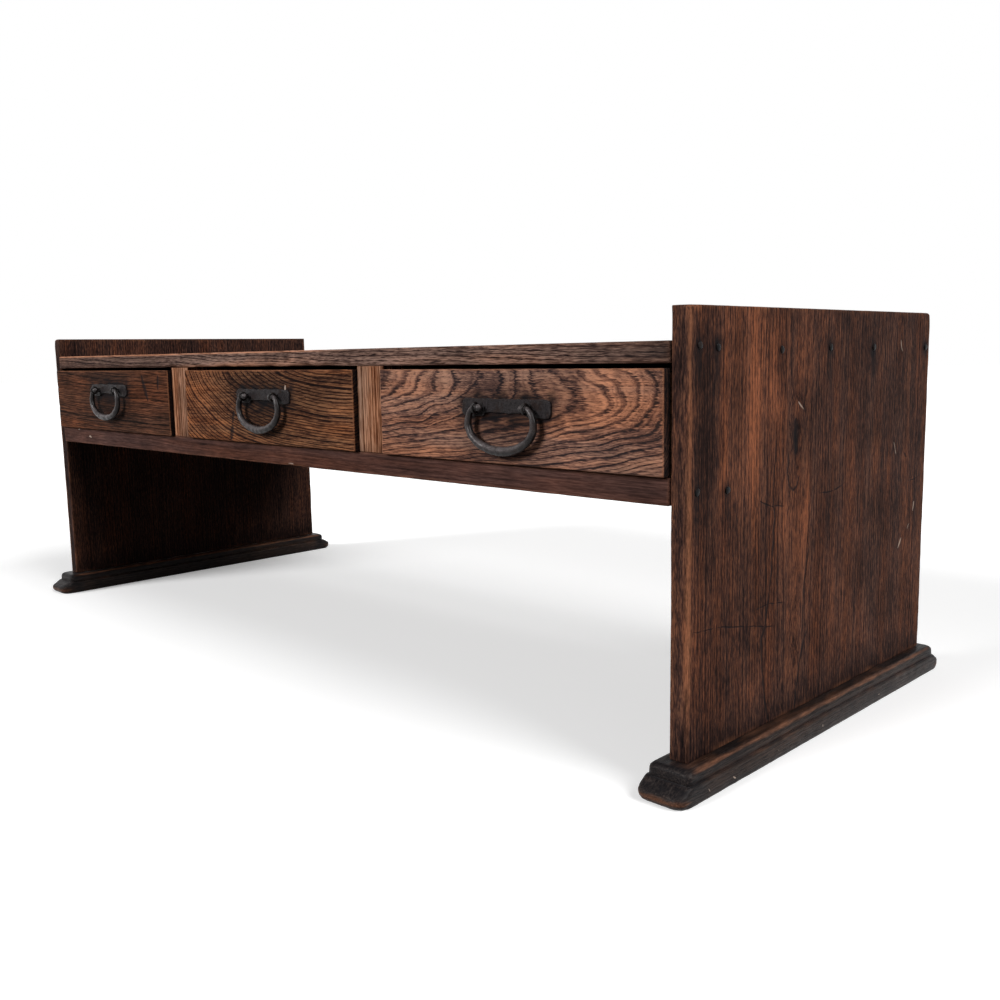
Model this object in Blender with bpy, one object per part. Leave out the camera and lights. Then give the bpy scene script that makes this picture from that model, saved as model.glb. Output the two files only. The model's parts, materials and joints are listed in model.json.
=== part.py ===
"""Low writing table of dark elm: two side panels on sledge feet carry a top board with a row of
three drawers under it. Each drawer has an iron bail handle. The front faces -Y, +Z is up, and the
origin is on the floor under the middle of the table. All sizes are in metres."""

import math

import bmesh
import bpy
from mathutils import Vector

# Side panels
CASE_WIDTH = 1.000
PANEL_THICKNESS = 0.015
PANEL_DEPTH = 0.387
PANEL_HEIGHT = 0.314
PANEL_RISE = 0.0229
PANEL_TENON_WIDTH = 0.080
PANEL_TENON_LENGTH = 0.014
PANEL_TENON_INSET = 0.050
PANEL_EASE = 0.0014

# Sledge feet: a block with sloped ends under a rounded step
FOOT_NOSE_HEIGHT = 0.0085
FOOT_SLOPE_RISE = 0.0060
FOOT_SLOPE_RUN = 0.0115
FOOT_SIDE_REACH = 0.0125
FOOT_END_REACH = 0.026
FOOT_SIDE_SLOPE = 0.0012
FOOT_UNDERCUT = 0.0025
FOOT_CORNER_RADIUS = 0.007
STEP_HEIGHT = 0.0095
STEP_SIDE_SETBACK = 0.0022
STEP_END_SETBACK = 0.0134
STEP_ROUND = 0.0012
STEP_SHOULDER = 0.0030
STEP_CORNER_RADIUS = 0.004

# Top board, front rail, posts and back board
FRAME_PROUD = 0.002
TOP_THICKNESS = 0.0151
TOP_HOUSING_DEPTH = 0.004
TOP_TONGUE_HEIGHT = 0.0085
TOP_HOUSING_STOP = 0.012
TOP_EASE = 0.0012
OPENING_HEIGHT = 0.0767
RAIL_HEIGHT = 0.0195
RAIL_DEPTH = 0.062
RAIL_TENON_LENGTH = 0.005
RAIL_TENON_SHOULDER = 0.010
RAIL_EASE = 0.0010
POST_WIDTH = 0.0365
POST_DEPTH = 0.024
POST_TENON_LENGTH = 0.006
POST_TENON_SHOULDER = 0.007
BACK_BOARD_THICKNESS = 0.012
BACK_BOARD_INSET = 0.006
BACK_TENON_LENGTH = 0.005
BACK_TENON_SHOULDER = 0.012

# Partitions and runners that guide the drawers
PARTITION_THICKNESS = 0.012
PARTITION_TONGUE = 0.005
RUNNER_THICKNESS = 0.014
RUNNER_TENON_LENGTH = 0.006
RUNNER_TENON_SHOULDER = 0.004
END_RUNNER_WIDTH = 0.024

# Nails through the side panels: the insets of each row's first and last nail, where the others stand
# between them as shares of the row, and how far each is above the middle of the board that it holds
TOP_NAIL_FRONT_INSET = 0.011
TOP_NAIL_BACK_INSET = 0.0085
TOP_NAIL_SHARES = (0.0, 0.06, 0.293, 0.50, 0.71, 1.0)
TOP_NAIL_LIFTS = (0.0040, 0.0025, 0.0, 0.0010, 0.0005, -0.0005)
RAIL_NAIL_FRONT_INSET = 0.009
RAIL_NAIL_BACK_INSET = 0.013
RAIL_NAIL_SHARES = (0.0, 1.0)
RAIL_NAIL_LIFTS = (0.0, -0.0025)
NAIL_HEAD_RADIUS = 0.0030
NAIL_HEAD_HEIGHT = 0.0014
NAIL_CROWN_RADIUS = 0.0018
NAIL_CROWN_DROP = 0.0003
NAIL_RIM_DROP = 0.0010
NAIL_SHANK_RADIUS = 0.0012
NAIL_LENGTH = 0.036
NAIL_TIP_LENGTH = 0.005

# Drawers
DRAWER_PROUD = 0.005
DRAWER_GAP_ABOVE = 0.0032
DRAWER_GAP_BESIDE = 0.0013
DRAWER_FRONT_THICKNESS = 0.017
DRAWER_LAP = 0.008
DRAWER_SIDE_THICKNESS = 0.009
DRAWER_SIDE_INSET = 0.0008
DRAWER_SIDE_DROP = 0.004
DRAWER_BACK_THICKNESS = 0.009
DRAWER_BACK_SETBACK = 0.010
DRAWER_BACK_HOUSING = 0.003
DRAWER_BOTTOM_THICKNESS = 0.006
DRAWER_BOTTOM_LIFT = 0.006
DRAWER_GROOVE_DEPTH = 0.004
DRAWER_EASE = 0.0011

# Iron handles: a lobed plate, two split pins with ring heads, and a bail. They were set by hand, a
# little right of each drawer's middle and each at its own height above it.
LEFT_HANDLE_SHIFT = 0.0037
LEFT_HANDLE_LIFT = 0.0130
MIDDLE_HANDLE_SHIFT = 0.0050
MIDDLE_HANDLE_LIFT = 0.0107
RIGHT_HANDLE_SHIFT = 0.0028
RIGHT_HANDLE_LIFT = 0.0070
PLATE_HEIGHT = 0.0140
PLATE_END_REACH = 0.020
PLATE_LOBE_LENGTH = 0.0245
PLATE_WAIST_RISE = 0.0032
PLATE_THICKNESS = 0.0015
PLATE_CORNER_RADIUS = 0.005
EYE_SPACING = 0.053
EYE_WIRE_RADIUS = 0.0011
EYE_LEG_LENGTH = 0.008
BAIL_END_RADIUS = 0.0020
BAIL_MIDDLE_RADIUS = 0.0036
BAIL_SHOULDER_RUN = 0.0082
BAIL_SHOULDER_DROP = 0.0125
BAIL_BOW_DROP = 0.0205
BAIL_BEAD_FLARE = 0.0010
BAIL_BEAD_LENGTH = 0.0048
BAIL_BEAD_TIP_ANGLE = 24

# Clearances between seated faces, round the sliding drawers and of a bail in its eyes, and how far a
# cutter runs past a face
FIT = 0.0003
RUN = 0.0004
BAIL_PLAY = 0.0008
PAST = 0.002

# How finely round shapes are faceted, and the angle in degrees past which an edge stays sharp
NAIL_SIDES = 8
EYE_HOLE_SIDES = 16
EYE_TUBE_STEPS = 1
EYE_KNEE_STEPS = 3
EYE_RING_STEPS = 14
BAIL_TUBE_STEPS = 2
BAIL_BEAD_STEPS = 4
BAIL_SHOULDER_STEPS = 7
BAIL_BOW_STEPS = 11
PLATE_FILLET_STEPS = 3
PLATE_CORNER_STEPS = 5
FOOT_CORNER_STEPS = 4
SHARP_ANGLE = 35
MERGE_DISTANCE = 0.00001

# Finishes: colour, roughness, metallic
FINISHES = {
    "panel_elm": ((0.055, 0.026, 0.017), 0.48, 0.0),
    "top_elm": ((0.075, 0.038, 0.024), 0.45, 0.0),
    "rail_elm": ((0.062, 0.030, 0.021), 0.50, 0.0),
    "post_elm": ((0.190, 0.095, 0.045), 0.52, 0.0),
    "drawer_elm": ((0.130, 0.062, 0.033), 0.46, 0.0),
    "foot_elm": ((0.032, 0.018, 0.013), 0.52, 0.0),
    "inner_softwood": ((0.270, 0.165, 0.085), 0.70, 0.0),
    "wrought_iron": ((0.022, 0.021, 0.021), 0.42, 0.85),
}

# Places that follow from the sizes above
OUTER_X = CASE_WIDTH / 2
INNER_X = OUTER_X - PANEL_THICKNESS
PANEL_FRONT_Y = -PANEL_DEPTH / 2
PANEL_BACK_Y = PANEL_DEPTH / 2
FRAME_FRONT_Y = PANEL_FRONT_Y - FRAME_PROUD
FOOT_BLOCK_HEIGHT = FOOT_NOSE_HEIGHT + FOOT_SLOPE_RISE
FOOT_HEIGHT = FOOT_BLOCK_HEIGHT + STEP_HEIGHT
PANEL_TOP_Z = FOOT_HEIGHT + PANEL_HEIGHT
TOP_Z = PANEL_TOP_Z - PANEL_RISE
CEILING_Z = TOP_Z - TOP_THICKNESS
RAIL_TOP_Z = CEILING_Z - OPENING_HEIGHT
RAIL_BOTTOM_Z = RAIL_TOP_Z - RAIL_HEIGHT
RAIL_BACK_Y = FRAME_FRONT_Y + RAIL_DEPTH
BACK_BOARD_BACK_Y = PANEL_BACK_Y - BACK_BOARD_INSET
BACK_BOARD_FRONT_Y = BACK_BOARD_BACK_Y - BACK_BOARD_THICKNESS
OPENING_WIDTH = (2 * INNER_X - 2 * POST_WIDTH) / 3
POST_X = (OPENING_WIDTH + POST_WIDTH) / 2
DRAWER_PITCH = OPENING_WIDTH + POST_WIDTH
EYE_RING_BORE = BAIL_END_RADIUS + BAIL_PLAY


def remove_everything():
    for thing in list(bpy.data.objects):
        bpy.data.objects.remove(thing, do_unlink=True)


def finish_material(finish):
    """The Principled material of one finish, made once and shared by name."""
    material = bpy.data.materials.get(finish)
    if material is None:
        colour, roughness, metallic = FINISHES[finish]
        material = bpy.data.materials.new(finish)
        material.use_nodes = True
        shader = material.node_tree.nodes["Principled BSDF"]
        shader.inputs["Base Color"].default_value = (*colour, 1.0)
        shader.inputs["Roughness"].default_value = roughness
        shader.inputs["Metallic"].default_value = metallic
        material.diffuse_color = (*colour, 1.0)
    return material


def empty(name, place):
    holder = bpy.data.objects.new(name, None)
    bpy.context.collection.objects.link(holder)
    holder.location = place
    bpy.context.view_layer.update()
    return holder


def add_object(name, data, place, finish, parent):
    """Link mesh or curve data whose points are measured from place, under the parent empty."""
    piece = bpy.data.objects.new(name, data)
    bpy.context.collection.objects.link(piece)
    if finish:
        data.materials.append(finish_material(finish))
    piece.location = place
    if parent:
        piece.parent = parent
        piece.matrix_parent_inverse = parent.matrix_world.inverted()
    return piece


def mesh_from(bm, name):
    bmesh.ops.recalc_face_normals(bm, faces=bm.faces)
    mesh = bpy.data.meshes.new(name)
    bm.to_mesh(mesh)
    bm.free()
    return mesh


def prism_mesh(name, outline, push, place, ease):
    """A flat outline of 3-D points, pushed along a vector, with its points measured from place.
    Its outer arrises are eased by a narrow chamfer, and its inner corners stay sharp."""
    bm = bmesh.new()
    corners = [bm.verts.new(Vector(point) - Vector(place)) for point in outline]
    face = bm.faces.new(corners)
    pushed = bmesh.ops.extrude_face_region(bm, geom=[face])
    moved = [item for item in pushed["geom"] if isinstance(item, bmesh.types.BMVert)]
    bmesh.ops.translate(bm, verts=moved, vec=push)
    bmesh.ops.recalc_face_normals(bm, faces=bm.faces)
    if ease:
        arrises = [edge for edge in bm.edges if edge.is_convex]
        bmesh.ops.bevel(bm, geom=arrises, offset=ease, segments=1, affect="EDGES")
    return mesh_from(bm, name)


def prism(name, outline, push, finish, parent, ease=0.0):
    """A board with the given outline: its object sits at the outline's first point."""
    place = outline[0]
    return add_object(name, prism_mesh(name, outline, push, place, ease), place, finish, parent)


def block(name, low, high, finish, parent, ease=0.0):
    """A plain board between two opposite corners."""
    outline = [(low[0], low[1], low[2]), (high[0], low[1], low[2]),
               (high[0], high[1], low[2]), (low[0], high[1], low[2])]
    return prism(name, outline, (0, 0, high[2] - low[2]), finish, parent, ease)


def cut(target, cutter):
    boolean = target.modifiers.new(cutter.name, "BOOLEAN")
    boolean.operation = "DIFFERENCE"
    boolean.solver = "EXACT"
    boolean.object = cutter


def as_cutter(tool):
    tool.hide_render = True
    tool.display_type = "WIRE"
    return tool


def pocket(target, name, low, high):
    """Cut a square-cornered mortise, groove or housing out of a board."""
    cut(target, as_cutter(block(name, low, high, None, None)))


def turned_mesh(name, profile, sides):
    """A profile of (radius, length) points spun about X, from its outer end inwards."""
    bm = bmesh.new()
    points = [bm.verts.new((length, 0, radius)) for radius, length in profile]
    edges = [bm.edges.new(pair) for pair in zip(points, points[1:])]
    bmesh.ops.spin(bm, geom=points + edges, axis=(1, 0, 0), cent=(0, 0, 0),
                   angle=math.tau, steps=sides, use_duplicate=False)
    bmesh.ops.remove_doubles(bm, verts=bm.verts, dist=MERGE_DISTANCE)
    mesh = mesh_from(bm, name)
    mesh.shade_smooth()
    mesh.set_sharp_from_angle(angle=math.radians(SHARP_ANGLE))
    return mesh


def tube_curve(name, points, radii, resolution):
    """A round rod along 3-D points with a radius at each, closed by flat caps."""
    curve = bpy.data.curves.new(name, "CURVE")
    curve.dimensions = "3D"
    curve.bevel_depth = 1.0
    curve.bevel_resolution = resolution
    curve.use_fill_caps = True
    spline = curve.splines.new("POLY")
    spline.points.add(len(points) - 1)
    for spot, point, radius in zip(spline.points, points, radii):
        spot.co = (*point, 1.0)
        spot.radius = radius
    spline.use_smooth = True
    return curve


def arc(centre, radius, start, end, steps):
    """Points on a circle in a plane, from one angle to another in degrees, both ends included."""
    angles = [math.radians(start + (end - start) * step / steps) for step in range(steps + 1)]
    return [(centre[0] + radius * math.cos(a), centre[1] + radius * math.sin(a)) for a in angles]


def side_name(side):
    return "left" if side < 0 else "right"


def stacked_outlines(name, place, levels, finish, parent):
    """Rounded rectangles (half width, half depth, corner radius, height), each joined to the next."""
    bm = bmesh.new()
    rings = []
    for half_x, half_y, radius, height in levels:
        ring = []
        for turn, (sx, sy) in enumerate(((1, 1), (-1, 1), (-1, -1), (1, -1))):
            centre = (sx * (half_x - radius), sy * (half_y - radius))
            corner = arc(centre, radius, 90 * turn, 90 * turn + 90, FOOT_CORNER_STEPS)
            ring += [bm.verts.new((x, y, height)) for x, y in corner]
        rings.append(ring)
    for lower, upper in zip(rings, rings[1:]):
        for index in range(len(lower)):
            after = (index + 1) % len(lower)
            bm.faces.new((lower[index], lower[after], upper[after], upper[index]))
    bm.faces.new(list(reversed(rings[0])))
    bm.faces.new(rings[-1])
    return add_object(name, mesh_from(bm, name), place, finish, parent)


def make_foot(side, table):
    """A sledge foot: undercut nose, sloped block ends, then the rounded step under the panel."""
    half_panel_x = PANEL_THICKNESS / 2
    half_panel_y = PANEL_DEPTH / 2
    block_x = half_panel_x + FOOT_SIDE_REACH
    block_y = half_panel_y + FOOT_END_REACH
    step_x = block_x - STEP_SIDE_SETBACK
    step_y = block_y - STEP_END_SETBACK
    nose_radius = FOOT_CORNER_RADIUS
    step_radius = STEP_CORNER_RADIUS
    round_z = STEP_ROUND
    levels = [
        (block_x - FOOT_UNDERCUT, block_y - FOOT_UNDERCUT, nose_radius, 0.0),
        (block_x, block_y, nose_radius, FOOT_UNDERCUT),
        (block_x, block_y, nose_radius, FOOT_NOSE_HEIGHT),
        (block_x - FOOT_SIDE_SLOPE, block_y - FOOT_SLOPE_RUN, step_radius, FOOT_BLOCK_HEIGHT),
        (step_x - round_z, step_y - round_z, step_radius, FOOT_BLOCK_HEIGHT),
        (step_x, step_y, step_radius, FOOT_BLOCK_HEIGHT + round_z),
        (step_x, step_y, step_radius, FOOT_HEIGHT - STEP_SHOULDER),
        (step_x - round_z, step_y - round_z, step_radius, FOOT_HEIGHT - round_z),
        (step_x - STEP_SHOULDER, step_y - STEP_SHOULDER, step_radius, FOOT_HEIGHT),
    ]
    centre_x = side * (OUTER_X - half_panel_x)
    name = side_name(side) + "_foot"
    foot = stacked_outlines(name, (centre_x, 0, 0), levels, "foot_elm", table)
    for end in (-1, 1):
        low_y, high_y = tenon_span(end)
        pocket(foot, name + "_mortise",
               (centre_x - half_panel_x - FIT, low_y - FIT, FOOT_HEIGHT - PANEL_TENON_LENGTH - FIT),
               (centre_x + half_panel_x + FIT, high_y + FIT, FOOT_HEIGHT + PAST))
    return foot


def tenon_span(end):
    """The front and back of a panel's bottom tenon near its front (-1) or back (1) edge."""
    outer = PANEL_DEPTH / 2 - PANEL_TENON_INSET
    inner = outer - PANEL_TENON_WIDTH
    return (-outer, -inner) if end < 0 else (inner, outer)


def make_panel(side, table):
    """A side panel: its bottom tenons stand in the foot, its inner face houses the case boards."""
    bottom = FOOT_HEIGHT + FIT
    tip = FOOT_HEIGHT - PANEL_TENON_LENGTH
    front_tenon = tenon_span(-1)
    back_tenon = tenon_span(1)
    profile = [
        (PANEL_FRONT_Y, bottom), (front_tenon[0], bottom), (front_tenon[0], tip),
        (front_tenon[1], tip), (front_tenon[1], bottom), (back_tenon[0], bottom),
        (back_tenon[0], tip), (back_tenon[1], tip), (back_tenon[1], bottom),
        (PANEL_BACK_Y, bottom), (PANEL_BACK_Y, PANEL_TOP_Z), (PANEL_FRONT_Y, PANEL_TOP_Z),
    ]
    outer = side * OUTER_X
    outline = [(outer, y, z) for y, z in profile]
    name = side_name(side) + "_side_panel"
    panel = prism(name, outline, (-side * PANEL_THICKNESS, 0, 0), "panel_elm", table, PANEL_EASE)

    def housing(cut_name, depth, low_y, high_y, low_z, high_z):
        reach = sorted((side * (INNER_X - PAST), side * (INNER_X + depth + FIT)))
        pocket(panel, name + cut_name, (reach[0], low_y - FIT, low_z - FIT),
               (reach[1], high_y + FIT, high_z + FIT))

    housing("_top_housing", TOP_HOUSING_DEPTH, PANEL_FRONT_Y + TOP_HOUSING_STOP,
            PANEL_BACK_Y + PAST, CEILING_Z, CEILING_Z + TOP_TONGUE_HEIGHT)
    housing("_rail_mortise", RAIL_TENON_LENGTH, FRAME_FRONT_Y + RAIL_TENON_SHOULDER,
            RAIL_BACK_Y - RAIL_TENON_SHOULDER, RAIL_BOTTOM_Z, RAIL_TOP_Z)
    housing("_back_mortise", BACK_TENON_LENGTH, BACK_BOARD_FRONT_Y, BACK_BOARD_BACK_Y,
            RAIL_BOTTOM_Z + BACK_TENON_SHOULDER, CEILING_Z - BACK_TENON_SHOULDER)
    return panel


def make_top(table):
    """The top board, with a tongue along each end that is housed in a side panel. The tongues stop
    short of the front, out of sight."""
    front_x = INNER_X - FIT
    end_x = INNER_X + TOP_HOUSING_DEPTH
    stop_y = PANEL_FRONT_Y + TOP_HOUSING_STOP
    half = [(front_x, FRAME_FRONT_Y), (front_x, stop_y), (end_x, stop_y), (end_x, PANEL_BACK_Y)]
    outline = half + [(-x, y) for x, y in reversed(half)]
    points = [(x, y, CEILING_Z) for x, y in outline]
    top = prism("top_board", points, (0, 0, TOP_THICKNESS), "top_elm", table, TOP_EASE)
    for side in (-1, 1):
        reach = sorted((side * front_x, side * (end_x + PAST)))
        pocket(top, side_name(side) + "_top_rebate",
               (reach[0], stop_y - PAST, CEILING_Z + TOP_TONGUE_HEIGHT),
               (reach[1], PANEL_BACK_Y + PAST, TOP_Z + PAST))
    return top


def make_rail(table):
    """The front rail under the drawers, with a stub tenon into each side panel."""
    shoulder_x = INNER_X - FIT
    tenon_x = INNER_X + RAIL_TENON_LENGTH
    tenon_front = FRAME_FRONT_Y + RAIL_TENON_SHOULDER
    tenon_back = RAIL_BACK_Y - RAIL_TENON_SHOULDER
    half = [(shoulder_x, FRAME_FRONT_Y), (shoulder_x, tenon_front), (tenon_x, tenon_front),
            (tenon_x, tenon_back), (shoulder_x, tenon_back), (shoulder_x, RAIL_BACK_Y)]
    outline = half + [(-x, y) for x, y in reversed(half)]
    points = [(x, y, RAIL_BOTTOM_Z) for x, y in outline]
    return prism("front_rail", points, (0, 0, RAIL_HEIGHT), "rail_elm", table, RAIL_EASE)


def make_back_board(table):
    """The board that closes the drawer case behind, with a stub tenon into each side panel."""
    shoulder_x = INNER_X - FIT
    tenon_x = INNER_X + BACK_TENON_LENGTH
    top = CEILING_Z - FIT
    tenon_low = RAIL_BOTTOM_Z + BACK_TENON_SHOULDER
    tenon_high = CEILING_Z - BACK_TENON_SHOULDER
    half = [(shoulder_x, RAIL_BOTTOM_Z), (shoulder_x, tenon_low), (tenon_x, tenon_low),
            (tenon_x, tenon_high), (shoulder_x, tenon_high), (shoulder_x, top)]
    outline = half + [(-x, z) for x, z in reversed(half)]
    points = [(x, BACK_BOARD_FRONT_Y, z) for x, z in outline]
    return prism("back_board", points, (0, BACK_BOARD_THICKNESS, 0), "inner_softwood", table)


def make_post(side, table, top, rail):
    """A post between two drawers, tenoned into the top board above and the rail below."""
    low = RAIL_TOP_Z + FIT
    high = CEILING_Z - FIT
    back_y = FRAME_FRONT_Y + POST_DEPTH
    tenon_front = FRAME_FRONT_Y + POST_TENON_SHOULDER
    tenon_back = back_y - POST_TENON_SHOULDER
    tip_low = RAIL_TOP_Z - POST_TENON_LENGTH
    tip_high = CEILING_Z + POST_TENON_LENGTH
    profile = [
        (FRAME_FRONT_Y, low), (tenon_front, low), (tenon_front, tip_low), (tenon_back, tip_low),
        (tenon_back, low), (back_y, low), (back_y, high), (tenon_back, high),
        (tenon_back, tip_high), (tenon_front, tip_high), (tenon_front, high), (FRAME_FRONT_Y, high),
    ]
    left_x = side * POST_X - POST_WIDTH / 2
    right_x = left_x + POST_WIDTH
    name = side_name(side) + "_post"
    outline = [(left_x, y, z) for y, z in profile]
    post = prism(name, outline, (POST_WIDTH, 0, 0), "post_elm", table)
    low_x = left_x - FIT
    high_x = right_x + FIT
    pocket(rail, name + "_rail_mortise", (low_x, tenon_front - FIT, tip_low - FIT),
           (high_x, tenon_back + FIT, RAIL_TOP_Z + PAST))
    pocket(top, name + "_top_mortise", (low_x, tenon_front - FIT, CEILING_Z - PAST),
           (high_x, tenon_back + FIT, tip_high + FIT))
    half = PARTITION_THICKNESS / 2 + FIT
    pocket(post, name + "_groove",
           (side * POST_X - half, back_y - PARTITION_TONGUE - FIT, low - PAST),
           (side * POST_X + half, back_y + PAST, high + PAST))
    return post


def make_partition(side, table):
    """The thin board behind a post, standing on the runner and tongued into the post's back."""
    half = PARTITION_THICKNESS / 2
    front_y = FRAME_FRONT_Y + POST_DEPTH - PARTITION_TONGUE
    return block(side_name(side) + "_partition",
                 (side * POST_X - half, front_y, RAIL_TOP_Z + FIT),
                 (side * POST_X + half, BACK_BOARD_FRONT_Y - FIT, CEILING_Z - FIT),
                 "inner_softwood", table)


def make_runner(name, low_x, high_x, table, rail, back_board):
    """A runner level with the rail's top, with stub tenons into the rail and the back board."""
    front_y = RAIL_BACK_Y + FIT
    back_y = BACK_BOARD_FRONT_Y - FIT
    tenon_low = low_x + RUNNER_TENON_SHOULDER
    tenon_high = high_x - RUNNER_TENON_SHOULDER
    tip_front = RAIL_BACK_Y - RUNNER_TENON_LENGTH
    tip_back = BACK_BOARD_FRONT_Y + RUNNER_TENON_LENGTH
    low_z = RAIL_TOP_Z - RUNNER_THICKNESS
    outline = [
        (low_x, front_y), (tenon_low, front_y), (tenon_low, tip_front), (tenon_high, tip_front),
        (tenon_high, front_y), (high_x, front_y), (high_x, back_y), (tenon_high, back_y),
        (tenon_high, tip_back), (tenon_low, tip_back), (tenon_low, back_y), (low_x, back_y),
    ]
    points = [(x, y, low_z) for x, y in outline]
    runner = prism(name, points, (0, 0, RUNNER_THICKNESS), "inner_softwood", table)
    low_x_cut = tenon_low - FIT
    high_x_cut = tenon_high + FIT
    low_z_cut = low_z - FIT
    pocket(rail, name + "_rail_mortise", (low_x_cut, tip_front - FIT, low_z_cut),
           (high_x_cut, RAIL_BACK_Y + PAST, RAIL_TOP_Z + PAST))
    pocket(back_board, name + "_back_mortise", (low_x_cut, BACK_BOARD_FRONT_Y - PAST, low_z_cut),
           (high_x_cut, tip_back + FIT, RAIL_TOP_Z + FIT))
    return runner


def nail_spots(front_y, back_y, shares, middle_z, lifts):
    """The (y, z) of each nail in a row that runs from front_y to back_y along a board's end."""
    return [(front_y + (back_y - front_y) * share, middle_z + lift) for share, lift in zip(shares, lifts)]


def make_nails(side, row, spots, panel, board, table):
    """A row of hand-made nails: round heads outside the panel, shanks into the board's end."""
    shank = NAIL_SHANK_RADIUS
    head = NAIL_HEAD_RADIUS
    tip = -NAIL_LENGTH
    profile = [
        (0, NAIL_HEAD_HEIGHT), (NAIL_CROWN_RADIUS, NAIL_HEAD_HEIGHT - NAIL_CROWN_DROP),
        (head, NAIL_HEAD_HEIGHT - NAIL_RIM_DROP), (head, 0), (shank, 0),
        (shank, tip + NAIL_TIP_LENGTH), (0, tip),
    ]
    bore = shank + FIT
    hole = [(0, PAST), (bore, PAST), (bore, tip - FIT), (0, tip - FIT)]
    for number, (y, z) in enumerate(spots, 1):
        name = side_name(side) + "_" + row + "_nail_" + str(number)
        centre = (side * OUTER_X, y, z)
        nail = add_object(name, turned_mesh(name, profile, NAIL_SIDES), centre, "wrought_iron", table)
        nail.location.x += side * FIT
        drill = add_object(name + "_hole", turned_mesh(name + "_hole", hole, NAIL_SIDES), centre,
                           None, None)
        as_cutter(drill)
        if side < 0:
            nail.rotation_euler.z = math.pi
            drill.rotation_euler.z = math.pi
        cut(panel, drill)
        cut(board, drill)


def make_drawer(name, centre_x, holder):
    """One drawer box: lapped front, grooved sides, housed back and a loose bottom board."""
    half = OPENING_WIDTH / 2 - DRAWER_GAP_BESIDE
    front_y = FRAME_FRONT_Y - DRAWER_PROUD
    lap_y = front_y + DRAWER_LAP
    inner_y = front_y + DRAWER_FRONT_THICKNESS
    back_y = BACK_BOARD_FRONT_Y - RUN
    low_z = RAIL_TOP_Z + RUN
    high_z = CEILING_Z - DRAWER_GAP_ABOVE
    side_top = high_z - DRAWER_SIDE_DROP
    side_x = half - DRAWER_SIDE_INSET
    wall_x = side_x - DRAWER_SIDE_THICKNESS
    groove_x = wall_x + DRAWER_GROOVE_DEPTH
    bottom_z = low_z + DRAWER_BOTTOM_LIFT
    floor_z = bottom_z + DRAWER_BOTTOM_THICKNESS
    back_face = back_y - DRAWER_BACK_SETBACK
    back_inner = back_face - DRAWER_BACK_THICKNESS
    housing_x = wall_x + DRAWER_BACK_HOUSING

    half_outline = [(half, front_y), (half, lap_y), (wall_x - FIT, lap_y), (wall_x - FIT, inner_y)]
    outline = half_outline + [(-x, y) for x, y in reversed(half_outline)]
    points = [(centre_x + x, y, low_z) for x, y in outline]
    front = prism(name + "_front", points, (0, 0, high_z - low_z), "drawer_elm", holder, DRAWER_EASE)
    pocket(front, name + "_front_groove",
           (centre_x - groove_x - FIT, inner_y - DRAWER_GROOVE_DEPTH - FIT, bottom_z - FIT),
           (centre_x + groove_x + FIT, inner_y + PAST, floor_z + FIT))

    for side in (-1, 1):
        board_x = sorted((centre_x + side * wall_x, centre_x + side * side_x))
        board = block(name + "_" + side_name(side) + "_side", (board_x[0], lap_y + FIT, low_z),
                      (board_x[1], back_y, side_top), "inner_softwood", holder)
        groove = sorted((centre_x + side * (wall_x - PAST), centre_x + side * (groove_x + FIT)))
        pocket(board, name + "_side_groove", (groove[0], lap_y - PAST, bottom_z - FIT),
               (groove[1], back_y + PAST, floor_z + FIT))
        housing = sorted((centre_x + side * (wall_x - PAST), centre_x + side * (housing_x + FIT)))
        pocket(board, name + "_back_housing", (housing[0], back_inner - FIT, floor_z - FIT),
               (housing[1], back_face + FIT, side_top + PAST))

    block(name + "_back", (centre_x - housing_x, back_inner, floor_z + FIT),
          (centre_x + housing_x, back_face, side_top), "inner_softwood", holder)
    block(name + "_bottom", (centre_x - groove_x, inner_y - DRAWER_GROOVE_DEPTH, bottom_z),
          (centre_x + groove_x, back_y, floor_z), "inner_softwood", holder)
    return front, front_y, inner_y, (low_z + high_z) / 2


def plate_outline():
    """The handle plate seen from the front, about the middle between its eyes: a straight top,
    round lobes and a narrower waist."""
    half = EYE_SPACING / 2 + PLATE_END_REACH
    top = PLATE_HEIGHT / 2
    waist = PLATE_WAIST_RISE - top
    inner = half - PLATE_LOBE_LENGTH
    radius = min(PLATE_CORNER_RADIUS, top - FIT)
    fillet = PLATE_WAIST_RISE / 2
    right = arc((inner - fillet, waist - fillet), fillet, 90, 0, PLATE_FILLET_STEPS)
    right += arc((inner + fillet, fillet - top), fillet, 180, 270, PLATE_FILLET_STEPS)
    right += arc((half - radius, radius - top), radius, -90, 0, PLATE_CORNER_STEPS)
    right += arc((half - radius, top - radius), radius, 0, 90, PLATE_CORNER_STEPS)
    return right + [(-x, z) for x, z in reversed(right)]


def eye_path(standoff, inner_reach):
    """A split pin bent from one wire: leg, shank, ring about the pivot, shank and other leg.
    Points are (0, y, z) from the pivot, with -y out of the drawer front."""
    strand = EYE_WIRE_RADIUS + FIT / 2
    ring = EYE_RING_BORE + EYE_WIRE_RADIUS
    leg_y = inner_reach + EYE_WIRE_RADIUS + FIT
    opening = math.degrees(math.asin(strand / ring))
    bend = 2 * EYE_WIRE_RADIUS
    knee = arc((leg_y - bend, strand + bend), bend, 0, -90, EYE_KNEE_STEPS)
    upper = [(leg_y, strand + EYE_LEG_LENGTH)] + knee + [(standoff, strand)]
    loop = arc((0, 0), ring, opening, 360 - opening, EYE_RING_STEPS)
    lower = [(y, -z) for y, z in reversed(upper)]
    return [(0, y, z) for y, z in upper + loop + lower]


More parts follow.
